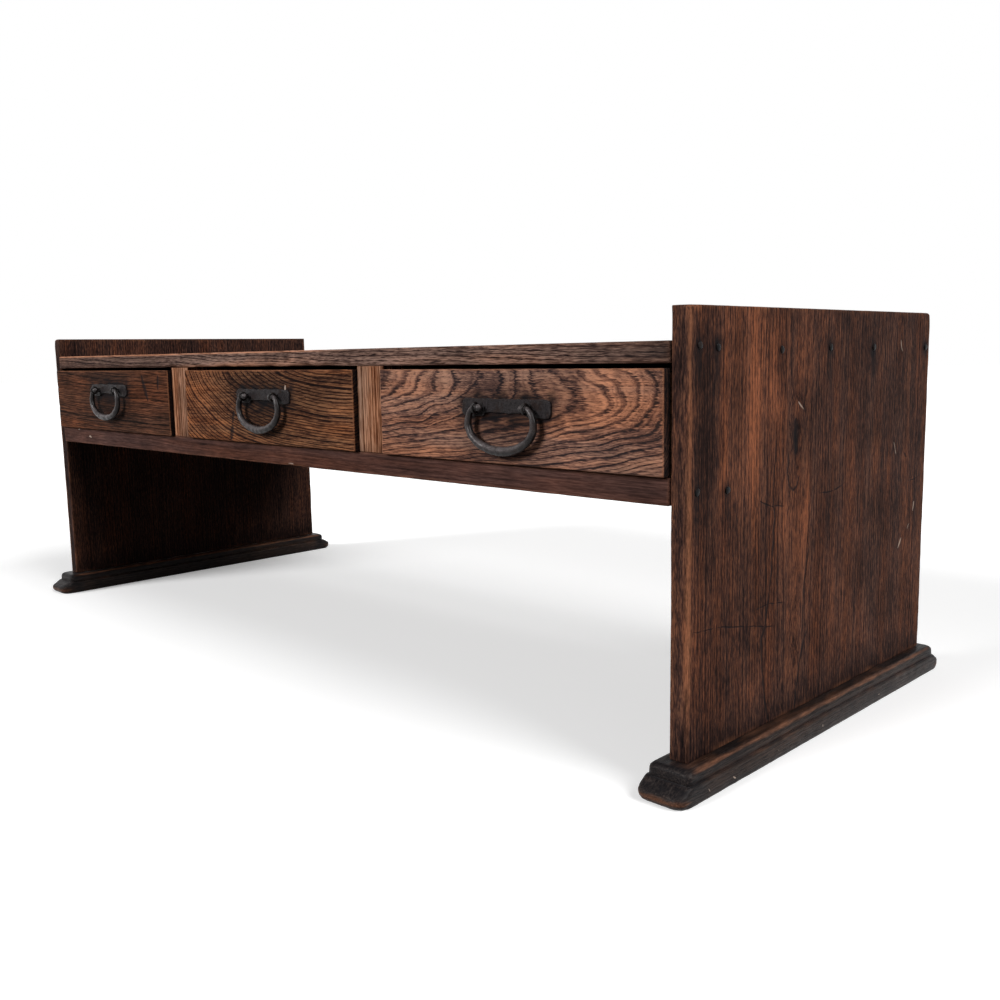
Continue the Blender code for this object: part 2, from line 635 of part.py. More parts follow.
def bail_path():
    """Points and radii of a bail from its left bead to its right one, measured from the midpoint
    between the eyes: elliptical shoulders run out of the eyes into a wide elliptical bow."""
    half_eye = EYE_SPACING / 2
    half_bow = half_eye + BAIL_SHOULDER_RUN
    shoulder = [(half_eye + BAIL_SHOULDER_RUN * x, BAIL_SHOULDER_DROP * (z - 1))
                for x, z in arc((0, 0), 1, 90, 0, BAIL_SHOULDER_STEPS)]
    bow = [(half_bow * x, BAIL_BOW_DROP * z - BAIL_SHOULDER_DROP)
           for x, z in arc((0, 0), 1, 0, -90, BAIL_BOW_STEPS)]
    right = shoulder + bow[1:]
    lengths = [0.0]
    for here, there in zip(right, right[1:]):
        lengths.append(lengths[-1] + math.dist(here, there))
    swell = BAIL_MIDDLE_RADIUS - BAIL_END_RADIUS
    radii = [BAIL_END_RADIUS + swell * length / lengths[-1] for length in lengths]
    bead_radius = BAIL_END_RADIUS + BAIL_BEAD_FLARE
    neck_angle = 180 - math.degrees(math.asin(BAIL_END_RADIUS / bead_radius))
    turn = arc((0, 0), 1, BAIL_BEAD_TIP_ANGLE, neck_angle, BAIL_BEAD_STEPS)
    neck_x = half_eye - EYE_WIRE_RADIUS - 2 * FIT
    stretch = BAIL_BEAD_LENGTH / (turn[0][0] - turn[-1][0])
    bead = [(neck_x - stretch * (x - turn[-1][0]), 0) for x, _ in turn]
    bead_radii = [bead_radius * height for _, height in turn]
    half = bead + right
    half_radii = bead_radii + radii
    points = half + [(-x, z) for x, z in reversed(half[:-1])]
    return [(x, 0, z) for x, z in points], half_radii + half_radii[-2::-1]


def make_handle(name, centre_x, pivot_z, front, front_y, inner_y, holder):
    """An iron handle on a drawer front: plate, two split pins through the front, and the bail."""
    ring_reach = EYE_RING_BORE + 2 * EYE_WIRE_RADIUS
    plate_back = front_y - FIT
    plate_face = plate_back - PLATE_THICKNESS
    pivot_y = plate_face - FIT - ring_reach
    outline = [(centre_x + x, plate_back, pivot_z + z) for x, z in plate_outline()]
    plate = prism(name + "_handle_plate", outline, (0, -PLATE_THICKNESS, 0), "wrought_iron", holder)
    path = eye_path(plate_back - pivot_y, inner_y - pivot_y)
    wire = [EYE_WIRE_RADIUS] * len(path)
    bore = 2 * EYE_WIRE_RADIUS + FIT / 2 + FIT
    through = plate_face - inner_y - PAST
    hole = [(0, PAST), (bore, PAST), (bore, through), (0, through)]
    for side in (-1, 1):
        eye_name = name + "_" + side_name(side) + "_eye"
        eye_x = centre_x + side * EYE_SPACING / 2
        place = (eye_x, pivot_y, pivot_z)
        add_object(eye_name, tube_curve(eye_name, path, wire, EYE_TUBE_STEPS), place, "wrought_iron", holder)
        bore_mesh = turned_mesh(eye_name + "_hole", hole, EYE_HOLE_SIDES)
        drill = add_object(eye_name + "_hole", bore_mesh, (eye_x, plate_face, pivot_z), None, None)
        drill.rotation_euler.z = -math.pi / 2
        as_cutter(drill)
        cut(plate, drill)
        cut(front, drill)
    points, radii = bail_path()
    bail_name = name + "_bail"
    rod = tube_curve(bail_name, points, radii, BAIL_TUBE_STEPS)
    add_object(bail_name, rod, (centre_x, pivot_y, pivot_z), "wrought_iron", holder)


def make_table():
    table = empty("writing_table", (0, 0, 0))
    top = make_top(table)
    rail = make_rail(table)
    back_board = make_back_board(table)
    top_spots = nail_spots(PANEL_FRONT_Y + TOP_NAIL_FRONT_INSET, PANEL_BACK_Y - TOP_NAIL_BACK_INSET,
                           TOP_NAIL_SHARES, (CEILING_Z + TOP_Z) / 2, TOP_NAIL_LIFTS)
    rail_spots = nail_spots(PANEL_FRONT_Y + RAIL_NAIL_FRONT_INSET, RAIL_BACK_Y - RAIL_NAIL_BACK_INSET,
                            RAIL_NAIL_SHARES, (RAIL_BOTTOM_Z + RAIL_TOP_Z) / 2, RAIL_NAIL_LIFTS)
    for side in (-1, 1):
        make_foot(side, table)
        panel = make_panel(side, table)
        make_nails(side, "top", top_spots, panel, top, table)
        make_nails(side, "rail", rail_spots, panel, rail, table)
        make_post(side, table, top, rail)
        make_partition(side, table)
        low_x = side * POST_X - POST_WIDTH / 2
        make_runner(side_name(side) + "_middle_runner", low_x, low_x + POST_WIDTH, table, rail, back_board)
        wall = INNER_X - FIT
        low_x, high_x = sorted((side * wall, side * (wall - END_RUNNER_WIDTH)))
        make_runner(side_name(side) + "_end_runner", low_x, high_x, table, rail, back_board)
    drawers = (("left_drawer", -DRAWER_PITCH, LEFT_HANDLE_SHIFT, LEFT_HANDLE_LIFT),
               ("middle_drawer", 0.0, MIDDLE_HANDLE_SHIFT, MIDDLE_HANDLE_LIFT),
               ("right_drawer", DRAWER_PITCH, RIGHT_HANDLE_SHIFT, RIGHT_HANDLE_LIFT))
    for name, centre_x, shift, lift in drawers:
        holder = empty(name, (centre_x, FRAME_FRONT_Y, RAIL_TOP_Z))
        holder.parent = table
        front, front_y, inner_y, middle_z = make_drawer(name, centre_x, holder)
        make_handle(name, centre_x + shift, middle_z + lift, front, front_y, inner_y, holder)


def main():
    remove_everything()
    make_table()


main()
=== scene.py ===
"""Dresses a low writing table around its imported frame: worn elm boards whose figure is cut from growth
rings, forged iron handles and nails, and a plain pale studio. Lengths are in metres."""

import json
import math

import bpy
import numpy as np
from bpy.props import FloatProperty, FloatVectorProperty, PointerProperty
from mathutils import Matrix, Vector

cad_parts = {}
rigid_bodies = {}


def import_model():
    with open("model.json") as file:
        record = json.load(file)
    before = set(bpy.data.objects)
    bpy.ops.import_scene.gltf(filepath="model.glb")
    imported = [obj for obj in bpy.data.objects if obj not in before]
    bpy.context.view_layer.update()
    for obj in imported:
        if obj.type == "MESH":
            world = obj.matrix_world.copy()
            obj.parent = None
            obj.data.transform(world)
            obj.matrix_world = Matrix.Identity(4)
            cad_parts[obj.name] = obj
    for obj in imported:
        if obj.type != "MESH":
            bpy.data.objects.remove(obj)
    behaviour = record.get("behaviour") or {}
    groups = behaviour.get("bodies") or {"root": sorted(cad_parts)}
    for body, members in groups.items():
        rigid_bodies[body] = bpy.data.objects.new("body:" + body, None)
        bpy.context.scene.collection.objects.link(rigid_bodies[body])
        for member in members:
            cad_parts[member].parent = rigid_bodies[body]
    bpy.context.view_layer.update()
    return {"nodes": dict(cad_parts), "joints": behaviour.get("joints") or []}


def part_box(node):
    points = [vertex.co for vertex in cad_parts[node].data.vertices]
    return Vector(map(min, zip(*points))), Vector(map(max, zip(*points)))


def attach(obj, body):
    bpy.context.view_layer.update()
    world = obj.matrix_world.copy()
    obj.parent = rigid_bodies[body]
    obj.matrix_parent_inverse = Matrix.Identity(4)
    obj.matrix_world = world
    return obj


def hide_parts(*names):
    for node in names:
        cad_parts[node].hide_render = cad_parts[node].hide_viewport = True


bl_info = {
    "name": "Worn Writing Table",
    "version": (1, 0, 0),
    "blender": (4, 5, 0),
    "location": "View3D > Sidebar > Writing Table",
    "description": "Builds the worn boards, iron handles and studio of a low writing table",
    "category": "Object",
}

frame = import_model()

AXES = "xyz"
SIDES = {"left": -1, "right": 1}
DRAWERS = ("left_drawer", "middle_drawer", "right_drawer")
RIGHT_ANGLE = math.pi / 2
WHITE = (1.0, 1.0, 1.0, 1.0)

# Room left between two boards that meet
SEAT = 0.0003

# Places over a worn arris, in radii from the edge
ARRIS_STEPS = np.array([0.0, 0.14, 0.32, 0.55, 0.85, 1.25, 1.9, 2.8])

# How unevenly an arris is worn: the noise, the least and most wear, and the widest share of a board
ARRIS_NOISE = 0.16
ARRIS_LIMITS = (0.55, 1.8)
ARRIS_WIDEST = 0.45

# The middle of every noise
MEAN = 0.5


def corners(node):
    """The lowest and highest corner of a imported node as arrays."""
    low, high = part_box(node)
    return np.array(low), np.array(high)


def outer_face(side):
    """Where a side panel's outer face lies."""
    low, high = corners(side + "_side_panel")
    return high[0] if SIDES[side] > 0 else low[0]


def between_panels(node):
    """A node's corners, with its ends drawn back to the side panels' inner faces."""
    low, high = corners(node)
    low[0] = corners("left_side_panel")[1][0] + SEAT
    high[0] = corners("right_side_panel")[0][0] - SEAT
    return low, high


def nail_nodes(side):
    return [name for name in sorted(frame["nodes"]) if name.startswith(side) and "_nail_" in name]


# Settings

def colour(label, red, green, blue):
    return FloatVectorProperty(name=label, description=label + " as a linear colour", subtype="COLOR",
                               default=(red, green, blue), min=0.0, soft_max=1.0)


def length(label, size, description):
    return FloatProperty(name=label, description=description, default=size, min=0.0, unit="LENGTH",
                         precision=4)


def angle(label, degrees, description):
    return FloatProperty(name=label, description=description, default=math.radians(degrees), unit="ROTATION")


def strength(label, amount, description):
    return FloatProperty(name=label, description=description, default=amount)


class TableColours(bpy.types.PropertyGroup):
    """Colours of the wood, its wear, the painted highlights and shade, and the iron."""

    panel_light: colour("Panel light grain", 0.178, 0.070, 0.037)
    panel_body: colour("Panel body", 0.0450, 0.0206, 0.0153)
    panel_dark: colour("Panel dark grain", 0.009, 0.0055, 0.0050)
    top_light: colour("Top light grain", 0.290, 0.160, 0.108)
    top_body: colour("Top body", 0.080, 0.0415, 0.0300)
    top_dark: colour("Top dark grain", 0.012, 0.007, 0.006)
    rail_light: colour("Rail light grain", 0.150, 0.069, 0.050)
    rail_body: colour("Rail body", 0.061, 0.0275, 0.0205)
    rail_dark: colour("Rail dark grain", 0.016, 0.0075, 0.0060)
    post_light: colour("Post light grain", 0.450, 0.245, 0.150)
    post_body: colour("Post body", 0.190, 0.082, 0.043)
    post_dark: colour("Post dark grain", 0.060, 0.020, 0.009)
    right_drawer_light: colour("Right drawer light grain", 0.410, 0.200, 0.119)
    right_drawer_body: colour("Right drawer body", 0.130, 0.0615, 0.0435)
    right_drawer_dark: colour("Right drawer dark grain", 0.024, 0.0160, 0.0150)
    middle_drawer_light: colour("Middle drawer light grain", 0.305, 0.128, 0.056)
    middle_drawer_body: colour("Middle drawer body", 0.060, 0.022, 0.0120)
    middle_drawer_dark: colour("Middle drawer dark grain", 0.008, 0.004, 0.003)
    left_drawer_light: colour("Left drawer light grain", 0.160, 0.062, 0.032)
    left_drawer_body: colour("Left drawer body", 0.049, 0.0194, 0.0108)
    left_drawer_dark: colour("Left drawer dark grain", 0.006, 0.003, 0.002)
    foot_light: colour("Foot light grain", 0.069, 0.047, 0.037)
    foot_body: colour("Foot body", 0.0215, 0.0143, 0.0121)
    foot_dark: colour("Foot dark grain", 0.0050, 0.0040, 0.0039)
    inner_light: colour("Inner wood light grain", 0.390, 0.250, 0.148)
    inner_body: colour("Inner wood body", 0.265, 0.152, 0.082)
    inner_dark: colour("Inner wood dark grain", 0.115, 0.056, 0.028)
    cool: colour("Cool streak", 0.88, 1.0, 1.15)
    warm: colour("Warm streak", 1.13, 0.985, 0.885)
    # Also the colour of the highlight painted along the feet's step
    worn: colour("Rubbed arris", 0.250, 0.105, 0.055)
    bare: colour("Bare chip", 0.480, 0.370, 0.300)
    # Also painted as shade: in the feet's cove, on the drawers' returns and behind the bails
    stain: colour("Iron stain", 0.0075, 0.0070, 0.0080)
    iron: colour("Plate iron", 0.0235, 0.0203, 0.0212)
    iron_rub: colour("Rubbed iron", 0.034, 0.030, 0.030)
    rust: colour("Brown oxide", 0.020, 0.0125, 0.0105)
    bail: colour("Bail iron", 0.0095, 0.0076, 0.0077)
    # A highlight painted along the upper front of the bails
    polish: colour("Polished iron", 0.072, 0.060, 0.060)
    nail: colour("Nail iron", 0.0045, 0.0045, 0.0050)


class TableSizes(bpy.types.PropertyGroup):
    """Sizes of the wear, the foot's moulding and the handle's rods."""

    panel_ease: length("Panel arris", 0.0011, "Radius of a side panel's worn arrises")
    board_ease: length("Board arris", 0.0011, "Radius of the worn arrises of the top and the rail")
    drawer_ease: length("Drawer arris", 0.0010, "Radius of a drawer front's worn arrises")
    back_ease: length("Back arris", 0.0010, "Radius of the back board's arrises")
    post_ease: length("Post arris", 0.0007, "Radius of a post's arrises")
    panel_rub: length("Panel rub", 0.0042, "How far the finish is rubbed back from a panel's arris")
    board_rub: length("Board rub", 0.0024, "How far the finish is rubbed back from a board's arris")
    # On the feet this reach also holds the highlight painted along the step's shoulder
    foot_rub: length("Foot rub", 0.0026, "How far the finish is rubbed back from a foot's arris")
    back_rub: length("Back rub", 0.0015, "How far the back board is rubbed back from its arris")
    post_rub: length("Post rub", 0.0012, "How far the finish is rubbed back from a post's arris")
    unevenness: length("Unevenness", 0.00010, "Height of the slow waves that hand planing left")
    nose_height: length("Foot nose", 0.0085, "Height of the foot's upright nose")
    slope_rise: length("Foot slope rise", 0.0060, "Height of the slope at each end of a foot")
    slope_run: length("Foot slope run", 0.0115, "Length of the slope at each end of a foot")
    foot_undercut: length("Foot undercut", 0.0015, "How far the foot's underside is drawn in")
    nose_tuck: length("Nose tuck", 0.0055, "How far the nose's underside is drawn in")
    step_side: length("Step side setback", 0.0022, "How far the foot's step lies in from its side")
    step_end: length("Step end setback", 0.0134, "How far the foot's step lies in from its end")
    step_round: length("Step round", 0.0046, "Radius of the step's rounded shoulder")
    step_cove: length("Step cove", 0.0010, "Radius of the hollow at the foot of the step")
    lobe_length: length("Lobe", 0.0245, "Length of each lobe of a handle's plate")
    waist_rise: length("Waist", 0.0032, "How far the plate's lower edge rises between its lobes")
    plate_corner: length("Plate corner", 0.0052, "Radius of the plate's corners")
    plate_bevel: length("Plate bevel", 0.0009, "Radius of the plate's rounded rim")
    wire: length("Eye wire", 0.0011, "Radius of the wire of a handle's eyes")
    bail_end: length("Bail end", 0.0020, "Radius of a bail where it passes its eyes")
    bail_middle: length("Bail middle", 0.0038, "Radius of a bail in the middle of its bow")
    bail_bead: length("Bail bead", 0.0030, "Radius of the beads on a bail's ends")
    bead_length: length("Bead length", 0.0048, "Length of a bail's bead")
    shoulder_drop: length("Bail shoulder", 0.0125, "How far a bail's shoulders fall below its eyes")
    nail_head: length("Nail head", 0.0027, "Radius of a nail's head")
    nail_height: length("Nail height", 0.0008, "Height of a nail's head")
    nail_shank: length("Nail shank", 0.0013, "Radius of a nail's shank")
    nail_depth: length("Nail depth", 0.0040, "How far a nail's shank goes into the panel")


class StudioSettings(bpy.types.PropertyGroup):
    """The camera and the light."""

    eye: FloatVectorProperty(name="Camera place", description="Where the camera stands",
                             subtype="TRANSLATION", default=(0.88351, -0.76376, 0.30810))
    heading: angle("Heading", 44.49369, "How far the camera is turned left from straight ahead")
    pitch: angle("Pitch", 8.10705, "How far the camera looks down")
    roll: angle("Roll", -1.0654, "How far the camera is tilted about its own view")
    lens: FloatProperty(name="Lens", description="Focal length on a sensor 36 mm wide", default=36.879,
                        unit="CAMERA")
    key: strength("Key", 2.9, "Strength of the soft light from the left and front")
    fill: strength("Fill", 2.9, "Strength of the soft light from the right and above")
    ambient: strength("Ambient", 0.16, "Strength of the even light from all round")


# Marks and broad tones, in the places where they lie on the boards

def on_side(face, *marks):
    """Marks (start and end as y and z, width) on an upright face that looks along x."""
    return [((face, y0, z0), (face, y1, z1), width) for y0, z0, y1, z1, width in marks]


def on_front(face, *marks):
    """Marks (start and end as x and z, width) on an upright face that looks along y."""
    return [((x0, face, z0), (x1, face, z1), width) for x0, z0, x1, z1, width in marks]


PANEL_FACE = outer_face("right")
FOOT_FACE = corners("right_foot")[1][0]
TOP_FACE = corners("top_board")[0][1]
RAIL_FACE = corners("front_rail")[0][1]
DRAWER_FACE = corners("right_drawer_front")[0][1]

HOOKED_SCRATCHES = ((-0.103, 0.1977, -0.085, 0.1921, 0.0009), (-0.086, 0.1922, -0.0665, 0.1899, 0.0009),
                    (-0.0126, 0.1935, 0.0137, 0.1936, 0.0010), (0.0125, 0.1934, 0.0340, 0.1994, 0.0012),
                    (0.1597, 0.1859, 0.1925, 0.1912, 0.0009), (0.147, 0.2135, 0.152, 0.2100, 0.0018))
LOW_SCRATCHES = ((-0.1883, 0.1166, -0.1600, 0.1154, 0.0007), (-0.1630, 0.1155, -0.1180, 0.1072, 0.0008),
                 (-0.1200, 0.1076, -0.0726, 0.0977, 0.0007), (-0.1071, 0.1170, -0.0880, 0.1176, 0.0007),
                 (-0.0900, 0.1177, -0.0625, 0.1153, 0.0007))
FRONT_CRACK = ((-0.0800, 0.2560, -0.0830, 0.2000, 0.0014), (-0.083, 0.2012, -0.081, 0.1822, 0.0018),
               (-0.081, 0.1840, -0.0825, 0.1517, 0.0020), (-0.0824, 0.1535, -0.0866, 0.1250, 0.0019),
               (-0.0864, 0.1275, -0.0915, 0.1030, 0.0020), (-0.0913, 0.1043, -0.0960, 0.0930, 0.0020),
               (-0.0962, 0.0960, -0.0953, 0.0730, 0.0023), (-0.0957, 0.0760, -0.0918, 0.0505, 0.0023),
               (-0.0924, 0.0530, -0.0855, 0.0265, 0.0022))
MIDDLE_CRACK = ((-0.0262, 0.1580, -0.0312, 0.1310, 0.0016), (-0.0310, 0.1335, -0.0345, 0.1080, 0.0019),
                (-0.0342, 0.1105, -0.0350, 0.0780, 0.0020), (-0.0246, 0.0878, -0.0310, 0.0780, 0.0019),
                (-0.0301, 0.0802, -0.0380, 0.0610, 0.0022), (-0.0376, 0.0630, -0.0425, 0.0385, 0.0022),
                (-0.0422, 0.0405, -0.0446, 0.0240, 0.0020))
KNOT_HEART = (-0.0518, 0.2560, -0.0508, 0.2280, 0.0050)
KNOT_LOOP = ((-0.0615, 0.2300, -0.0630, 0.2125, 0.0014), (-0.0630, 0.2145, -0.0600, 0.2040, 0.0017),
             (-0.0606, 0.2052, -0.0530, 0.2010, 0.0019), (-0.0545, 0.2012, -0.0470, 0.2042, 0.0019),
             (-0.0480, 0.2034, -0.0444, 0.2120, 0.0016))
PANEL_MARKS = on_side(PANEL_FACE, *HOOKED_SCRATCHES, *LOW_SCRATCHES, *FRONT_CRACK, *MIDDLE_CRACK, KNOT_HEART,
                      *KNOT_LOOP)
PANEL_CHIPS = on_side(PANEL_FACE, (-0.0485, 0.2684, -0.0395, 0.2612, 0.0011),
                      (0.1719, 0.1668, 0.1705, 0.1575, 0.0010), (0.1634, 0.1475, 0.1600, 0.1420, 0.0006),
                      (0.1480, 0.1365, 0.1413, 0.1270, 0.0014), (0.1245, 0.2255, 0.1310, 0.2120, 0.0005),
                      (0.1319, 0.3140, 0.1355, 0.3040, 0.0006))
FOOT_CHIPS = on_side(FOOT_FACE, (-0.1540, 0.0070, -0.1500, 0.0045, 0.0007),
                     (-0.1860, 0.0080, -0.1838, 0.0050, 0.0005), (-0.0920, 0.0075, -0.0885, 0.0065, 0.0006),
                     (-0.0210, 0.0085, -0.0200, 0.0060, 0.0006), (0.0820, 0.0070, 0.0870, 0.0065, 0.0006))
TOP_MARKS = on_front(TOP_FACE, (-0.142, 0.3025, -0.120, 0.3040, 0.0011),
                     (0.246, 0.3015, 0.262, 0.3035, 0.0010), (0.344, 0.3020, 0.352, 0.3040, 0.0010))
RAIL_CHIPS = on_front(RAIL_FACE, (-0.410, 0.2135, -0.404, 0.2120, 0.0014),
                      (0.034, 0.2050, 0.044, 0.2056, 0.0012), (-0.441, 0.2215, -0.437, 0.2215, 0.0010))
DRAWER_MARKS = {
    "left_drawer": on_front(DRAWER_FACE, (-0.2484, 0.2918, -0.2357, 0.2609, 0.0042),
                            (-0.210, 0.2918, -0.210, 0.2749, 0.0030)),
    "middle_drawer": on_front(DRAWER_FACE, (-0.0510, 0.2552, -0.0552, 0.2420, 0.0030),
                              (-0.0545, 0.2406, -0.0598, 0.2259, 0.0046)),
    "right_drawer": on_front(DRAWER_FACE, (0.196, 0.2445, 0.226, 0.2420, 0.0008)),
}
DRAWER_CHIPS = {
    "left_drawer": (),
    "middle_drawer": on_front(DRAWER_FACE, (0.0431, 0.2830, 0.0431, 0.2770, 0.0016)),
    "right_drawer": (),
}

# Bites out of the rail's lower arris: place along it, reach and depth
RAIL_BITES = ((0.038, 0.010, 0.0022), (0.054, 0.006, 0.0016), (0.211, 0.006, 0.0008), (0.383, 0.005, 0.0012),
              (-0.380, 0.005, 0.0010))

# Broad lights and darks: two places on the face, two reaches and the gain
TONE_DEPTH = 0.02
PANEL_TONES = ((-0.174, 0.26, 0.016, 0.09, -0.36), (-0.150, 0.265, 0.009, 0.070, 0.45),
               (-0.112, 0.275, 0.014, 0.080, 0.62), (-0.083, 0.295, 0.010, 0.045, 0.42),
               (-0.055, 0.175, 0.020, 0.035, 0.12), (-0.066, 0.170, 0.0045, 0.032, 0.32),
               (-0.034, 0.178, 0.0045, 0.034, 0.42), (-0.052, 0.242, 0.005, 0.014, -0.35),
               (-0.045, 0.09, 0.045, 0.06, 0.12), (0.10, 0.25, 0.09, 0.15, -0.12),
               (0.085, 0.22, 0.012, 0.06, 0.15), (-0.150, 0.09, 0.020, 0.06, -0.15),
               (-0.1935, 0.315, 0.008, 0.03, -0.35))
DRAWER_TONES = {
    "left_drawer": ((-0.333, 0.262, 0.06, 0.04, -0.30), (-0.44, 0.26, 0.05, 0.06, 0.10)),
    "middle_drawer": ((0.0, 0.265, 0.06, 0.04, -0.25), (-0.12, 0.25, 0.04, 0.05, 0.04),
                      (0.10, 0.25, 0.06, 0.04, -0.08)),
    "right_drawer": ((0.335, 0.275, 0.07, 0.03, -0.22), (0.43, 0.27, 0.05, 0.05, 0.18),
                     (0.22, 0.28, 0.05, 0.03, 0.08)),
}

# Knots in a panel: place along and across the grain, reach along and across it, and height
PANEL_KNOTS = ((0.236, -0.048, 0.036, 0.0090, 0.0090), (0.150, -0.048, 0.070, 0.020, 0.0040))


# Smooth noise, masks and surfaces

def waves(points, wavelength, seed, count=14):
    """Smooth noise of unit spread: the sum of plane waves in random directions whose lengths lie about
    one wavelength."""
    chance = np.random.default_rng(seed)
    heading = chance.normal(size=(count, 3))
    heading /= np.linalg.norm(heading, axis=1, keepdims=True)
    pace = math.tau / wavelength * chance.uniform(0.6, 1.6, (count, 1))
    start = chance.uniform(0, math.tau, count)
    return np.sin(points @ (heading * pace).T + start).sum(1) / math.sqrt(count / 2)


def part_way(values, start, end):
    """How far the values have come from start to end, as a share between 0 and 1."""
    return np.clip((values - start) / (end - start), 0, 1)


def soft_spot(points, place, reach):
    """A bell-shaped mask about a place, with one reach or its own reach along each axis."""
    return np.exp(-(((points - np.array(place)) / np.array(reach)) ** 2).sum(1))


def stations(low, high, ease, pitch):
    """Places along one side of a board: close over the arris at each end, then evenly a pitch apart."""
    near = ease * ARRIS_STEPS
    span = high - low - 2 * near[-1]
    inner = np.linspace(low + near[-1], high - near[-1], max(2, int(round(span / pitch)) + 1))
    return np.concatenate([low + near[:-1], inner, high - near[-2::-1]])


def patch_quads(number):
    """Quads between the neighbours in a grid of point numbers."""
    return np.stack((number[:-1, :-1], number[1:, :-1], number[1:, 1:], number[:-1, 1:]), -1).reshape(-1, 4)


def lattice_sides(counts):
    """The six sides of a box lattice as quads of lattice numbers, wound to face outwards."""
    number = np.arange(np.prod(counts)).reshape(counts)
    sides = (number[0].T, number[-1], number[:, 0], number[:, -1].T, number[:, :, 0].T, number[:, :, -1])
    return np.concatenate([patch_quads(side) for side in sides])


def worn_box(low, high, ease, pitch, seed, unevenness, bites=()):
    """A closed board with rounded, worn arrises. Each point of a box lattice is drawn onto a sphere of
    radius r about the nearest point of the box shrunk by r. The radius r is the ease, times one plus smooth
    noise, plus a bell-shaped gain round each bite (place, reach, depth). Slow waves then sink the faces.
    Gives the points, the quads and each point's distance from the nearest arris."""
    lines = [stations(low[k], high[k], ease, pitch) for k in range(3)]
    counts = [len(line) for line in lines]
    used, quads = np.unique(lattice_sides(counts), return_inverse=True)
    index = np.unravel_index(used, counts)
    flat = np.stack([line[i] for line, i in zip(lines, index)], -1)
    uneven = 1 + ARRIS_NOISE * (waves(flat, 0.05, seed) + waves(flat, 0.014, seed + 1))
    radius = ease * np.clip(uneven, *ARRIS_LIMITS)
    for place, reach, depth in bites:
        radius += depth * soft_spot(flat, place, reach)
    radius = np.minimum(radius, ARRIS_WIDEST * (high - low).min())[:, None]
    core = np.clip(flat, low + radius, high - radius)
    out = flat - core
    out /= np.linalg.norm(out, axis=1, keepdims=True)
    gaps = np.sort(np.minimum(flat - low, high - flat), axis=1)[:, 1]
    sink = unevenness * np.abs(waves(flat, 0.075, seed + 2)) * part_way(gaps, 0.0, 0.01)
    return core + out * (radius - sink[:, None]), quads.reshape(-1, 4), gaps


def grid_quads(rows, columns):
    """Quads between the rows of a grid whose columns close into a loop."""
    number = np.arange(rows * columns).reshape(rows, columns)
    after = np.roll(number, -1, axis=1)
    return np.stack((number[:-1], after[:-1], after[1:], number[1:]), -1).reshape(-1, 4)


def closed_stack(rings):
    """A closed surface through rings of points (rows, columns, 3): quads between neighbours, and the first
    and last ring filled."""
    rows, columns = rings.shape[:2]
    faces = grid_quads(rows, columns).tolist()
    faces.append(list(range(columns - 1, -1, -1)))
    faces.append(list(range((rows - 1) * columns, rows * columns)))
    return rings.reshape(-1, 3), faces


def rounded_outline(half_x, half_y, radius, steps_x, steps_y, corner=6):
    """A rounded rectangle about the origin, anticlockwise: straight runs in even steps between quarter
    circles at the corners."""
    turn = np.linspace(0, RIGHT_ANGLE, corner)
    parts = []
    for quarter, (sx, sy) in enumerate(((1, 1), (-1, 1), (-1, -1), (1, -1))):
        spin = turn + quarter * RIGHT_ANGLE
        normal = np.stack((np.cos(spin), np.sin(spin)), -1)
        parts.append(np.array((sx * (half_x - radius), sy * (half_y - radius))) + radius * normal)
        run, steps = ((half_x, steps_x), (half_y, steps_y))[quarter % 2]
        share = np.linspace(0, 1, steps + 1)[1:-1, None]
        heading = np.array((-normal[-1, 1], normal[-1, 0]))
        parts.append(parts[-1][-1] + share * 2 * (run - radius) * heading)
    return np.concatenate(parts)


def slab(front, back):
    """A closed plate between two grids of points (columns, rows, 3). The front grid's columns run left to
    right and its rows upwards as seen from outside, and quads round the rim join it to the back grid."""
    columns, rows = front.shape[:2]
    number = np.arange(columns * rows).reshape(columns, rows)
    quads = patch_quads(number)
    rim = np.concatenate((number[:-1, 0], number[-1, :-1], number[:0:-1, -1], number[0, :0:-1]))
    after = np.roll(rim, -1)
    behind = columns * rows
    walls = np.stack((after, rim, rim + behind, after + behind), -1)
    points = np.concatenate((front.reshape(-1, 3), back.reshape(-1, 3)))
    return points, np.concatenate((quads, quads[:, ::-1] + behind, walls))


def tube(path, radii, sides, across):
    """A round rod: circles of the given radii about the points of a path, each in the plane of the across
    vector and of its cross product with the path's heading. Its ends are filled."""
    heading = np.gradient(path, axis=0)
    heading /= np.linalg.norm(heading, axis=1, keepdims=True)
    flat = np.broadcast_to(np.array(across, float), path.shape)
    other = np.cross(heading, flat)
    spin = np.linspace(0, math.tau, sides, endpoint=False)
    ring = np.cos(spin)[None, :, None] * flat[:, None] + np.sin(spin)[None, :, None] * other[:, None]
    return closed_stack(path[:, None] + radii[:, None, None] * ring)


def add_piece(name, points, faces, material, body, nodes, slot, **attributes):
    """Put a finished surface into the scene: its mesh, point attributes, material, body and nodes. The slot
    is not used. An attribute is one value for all points or a value for each."""
    mesh = bpy.data.meshes.new(name)
    mesh.from_pydata(np.asarray(points).tolist(), [], faces if isinstance(faces, list) else faces.tolist())
    for key, values in attributes.items():
        filled = np.full(len(points), values, np.float32)
        mesh.attributes.new(key, "FLOAT", "POINT").data.foreach_set("value", filled)
    if mesh.validate():
        raise RuntimeError(name + " had faces that Blender couldn't keep")
    mesh.shade_smooth()
    mesh.materials.append(material)
    piece = bpy.data.objects.new(name, mesh)
    bpy.context.scene.collection.objects.link(piece)
    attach(piece, body)
    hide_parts(*nodes)
    return piece


# Materials

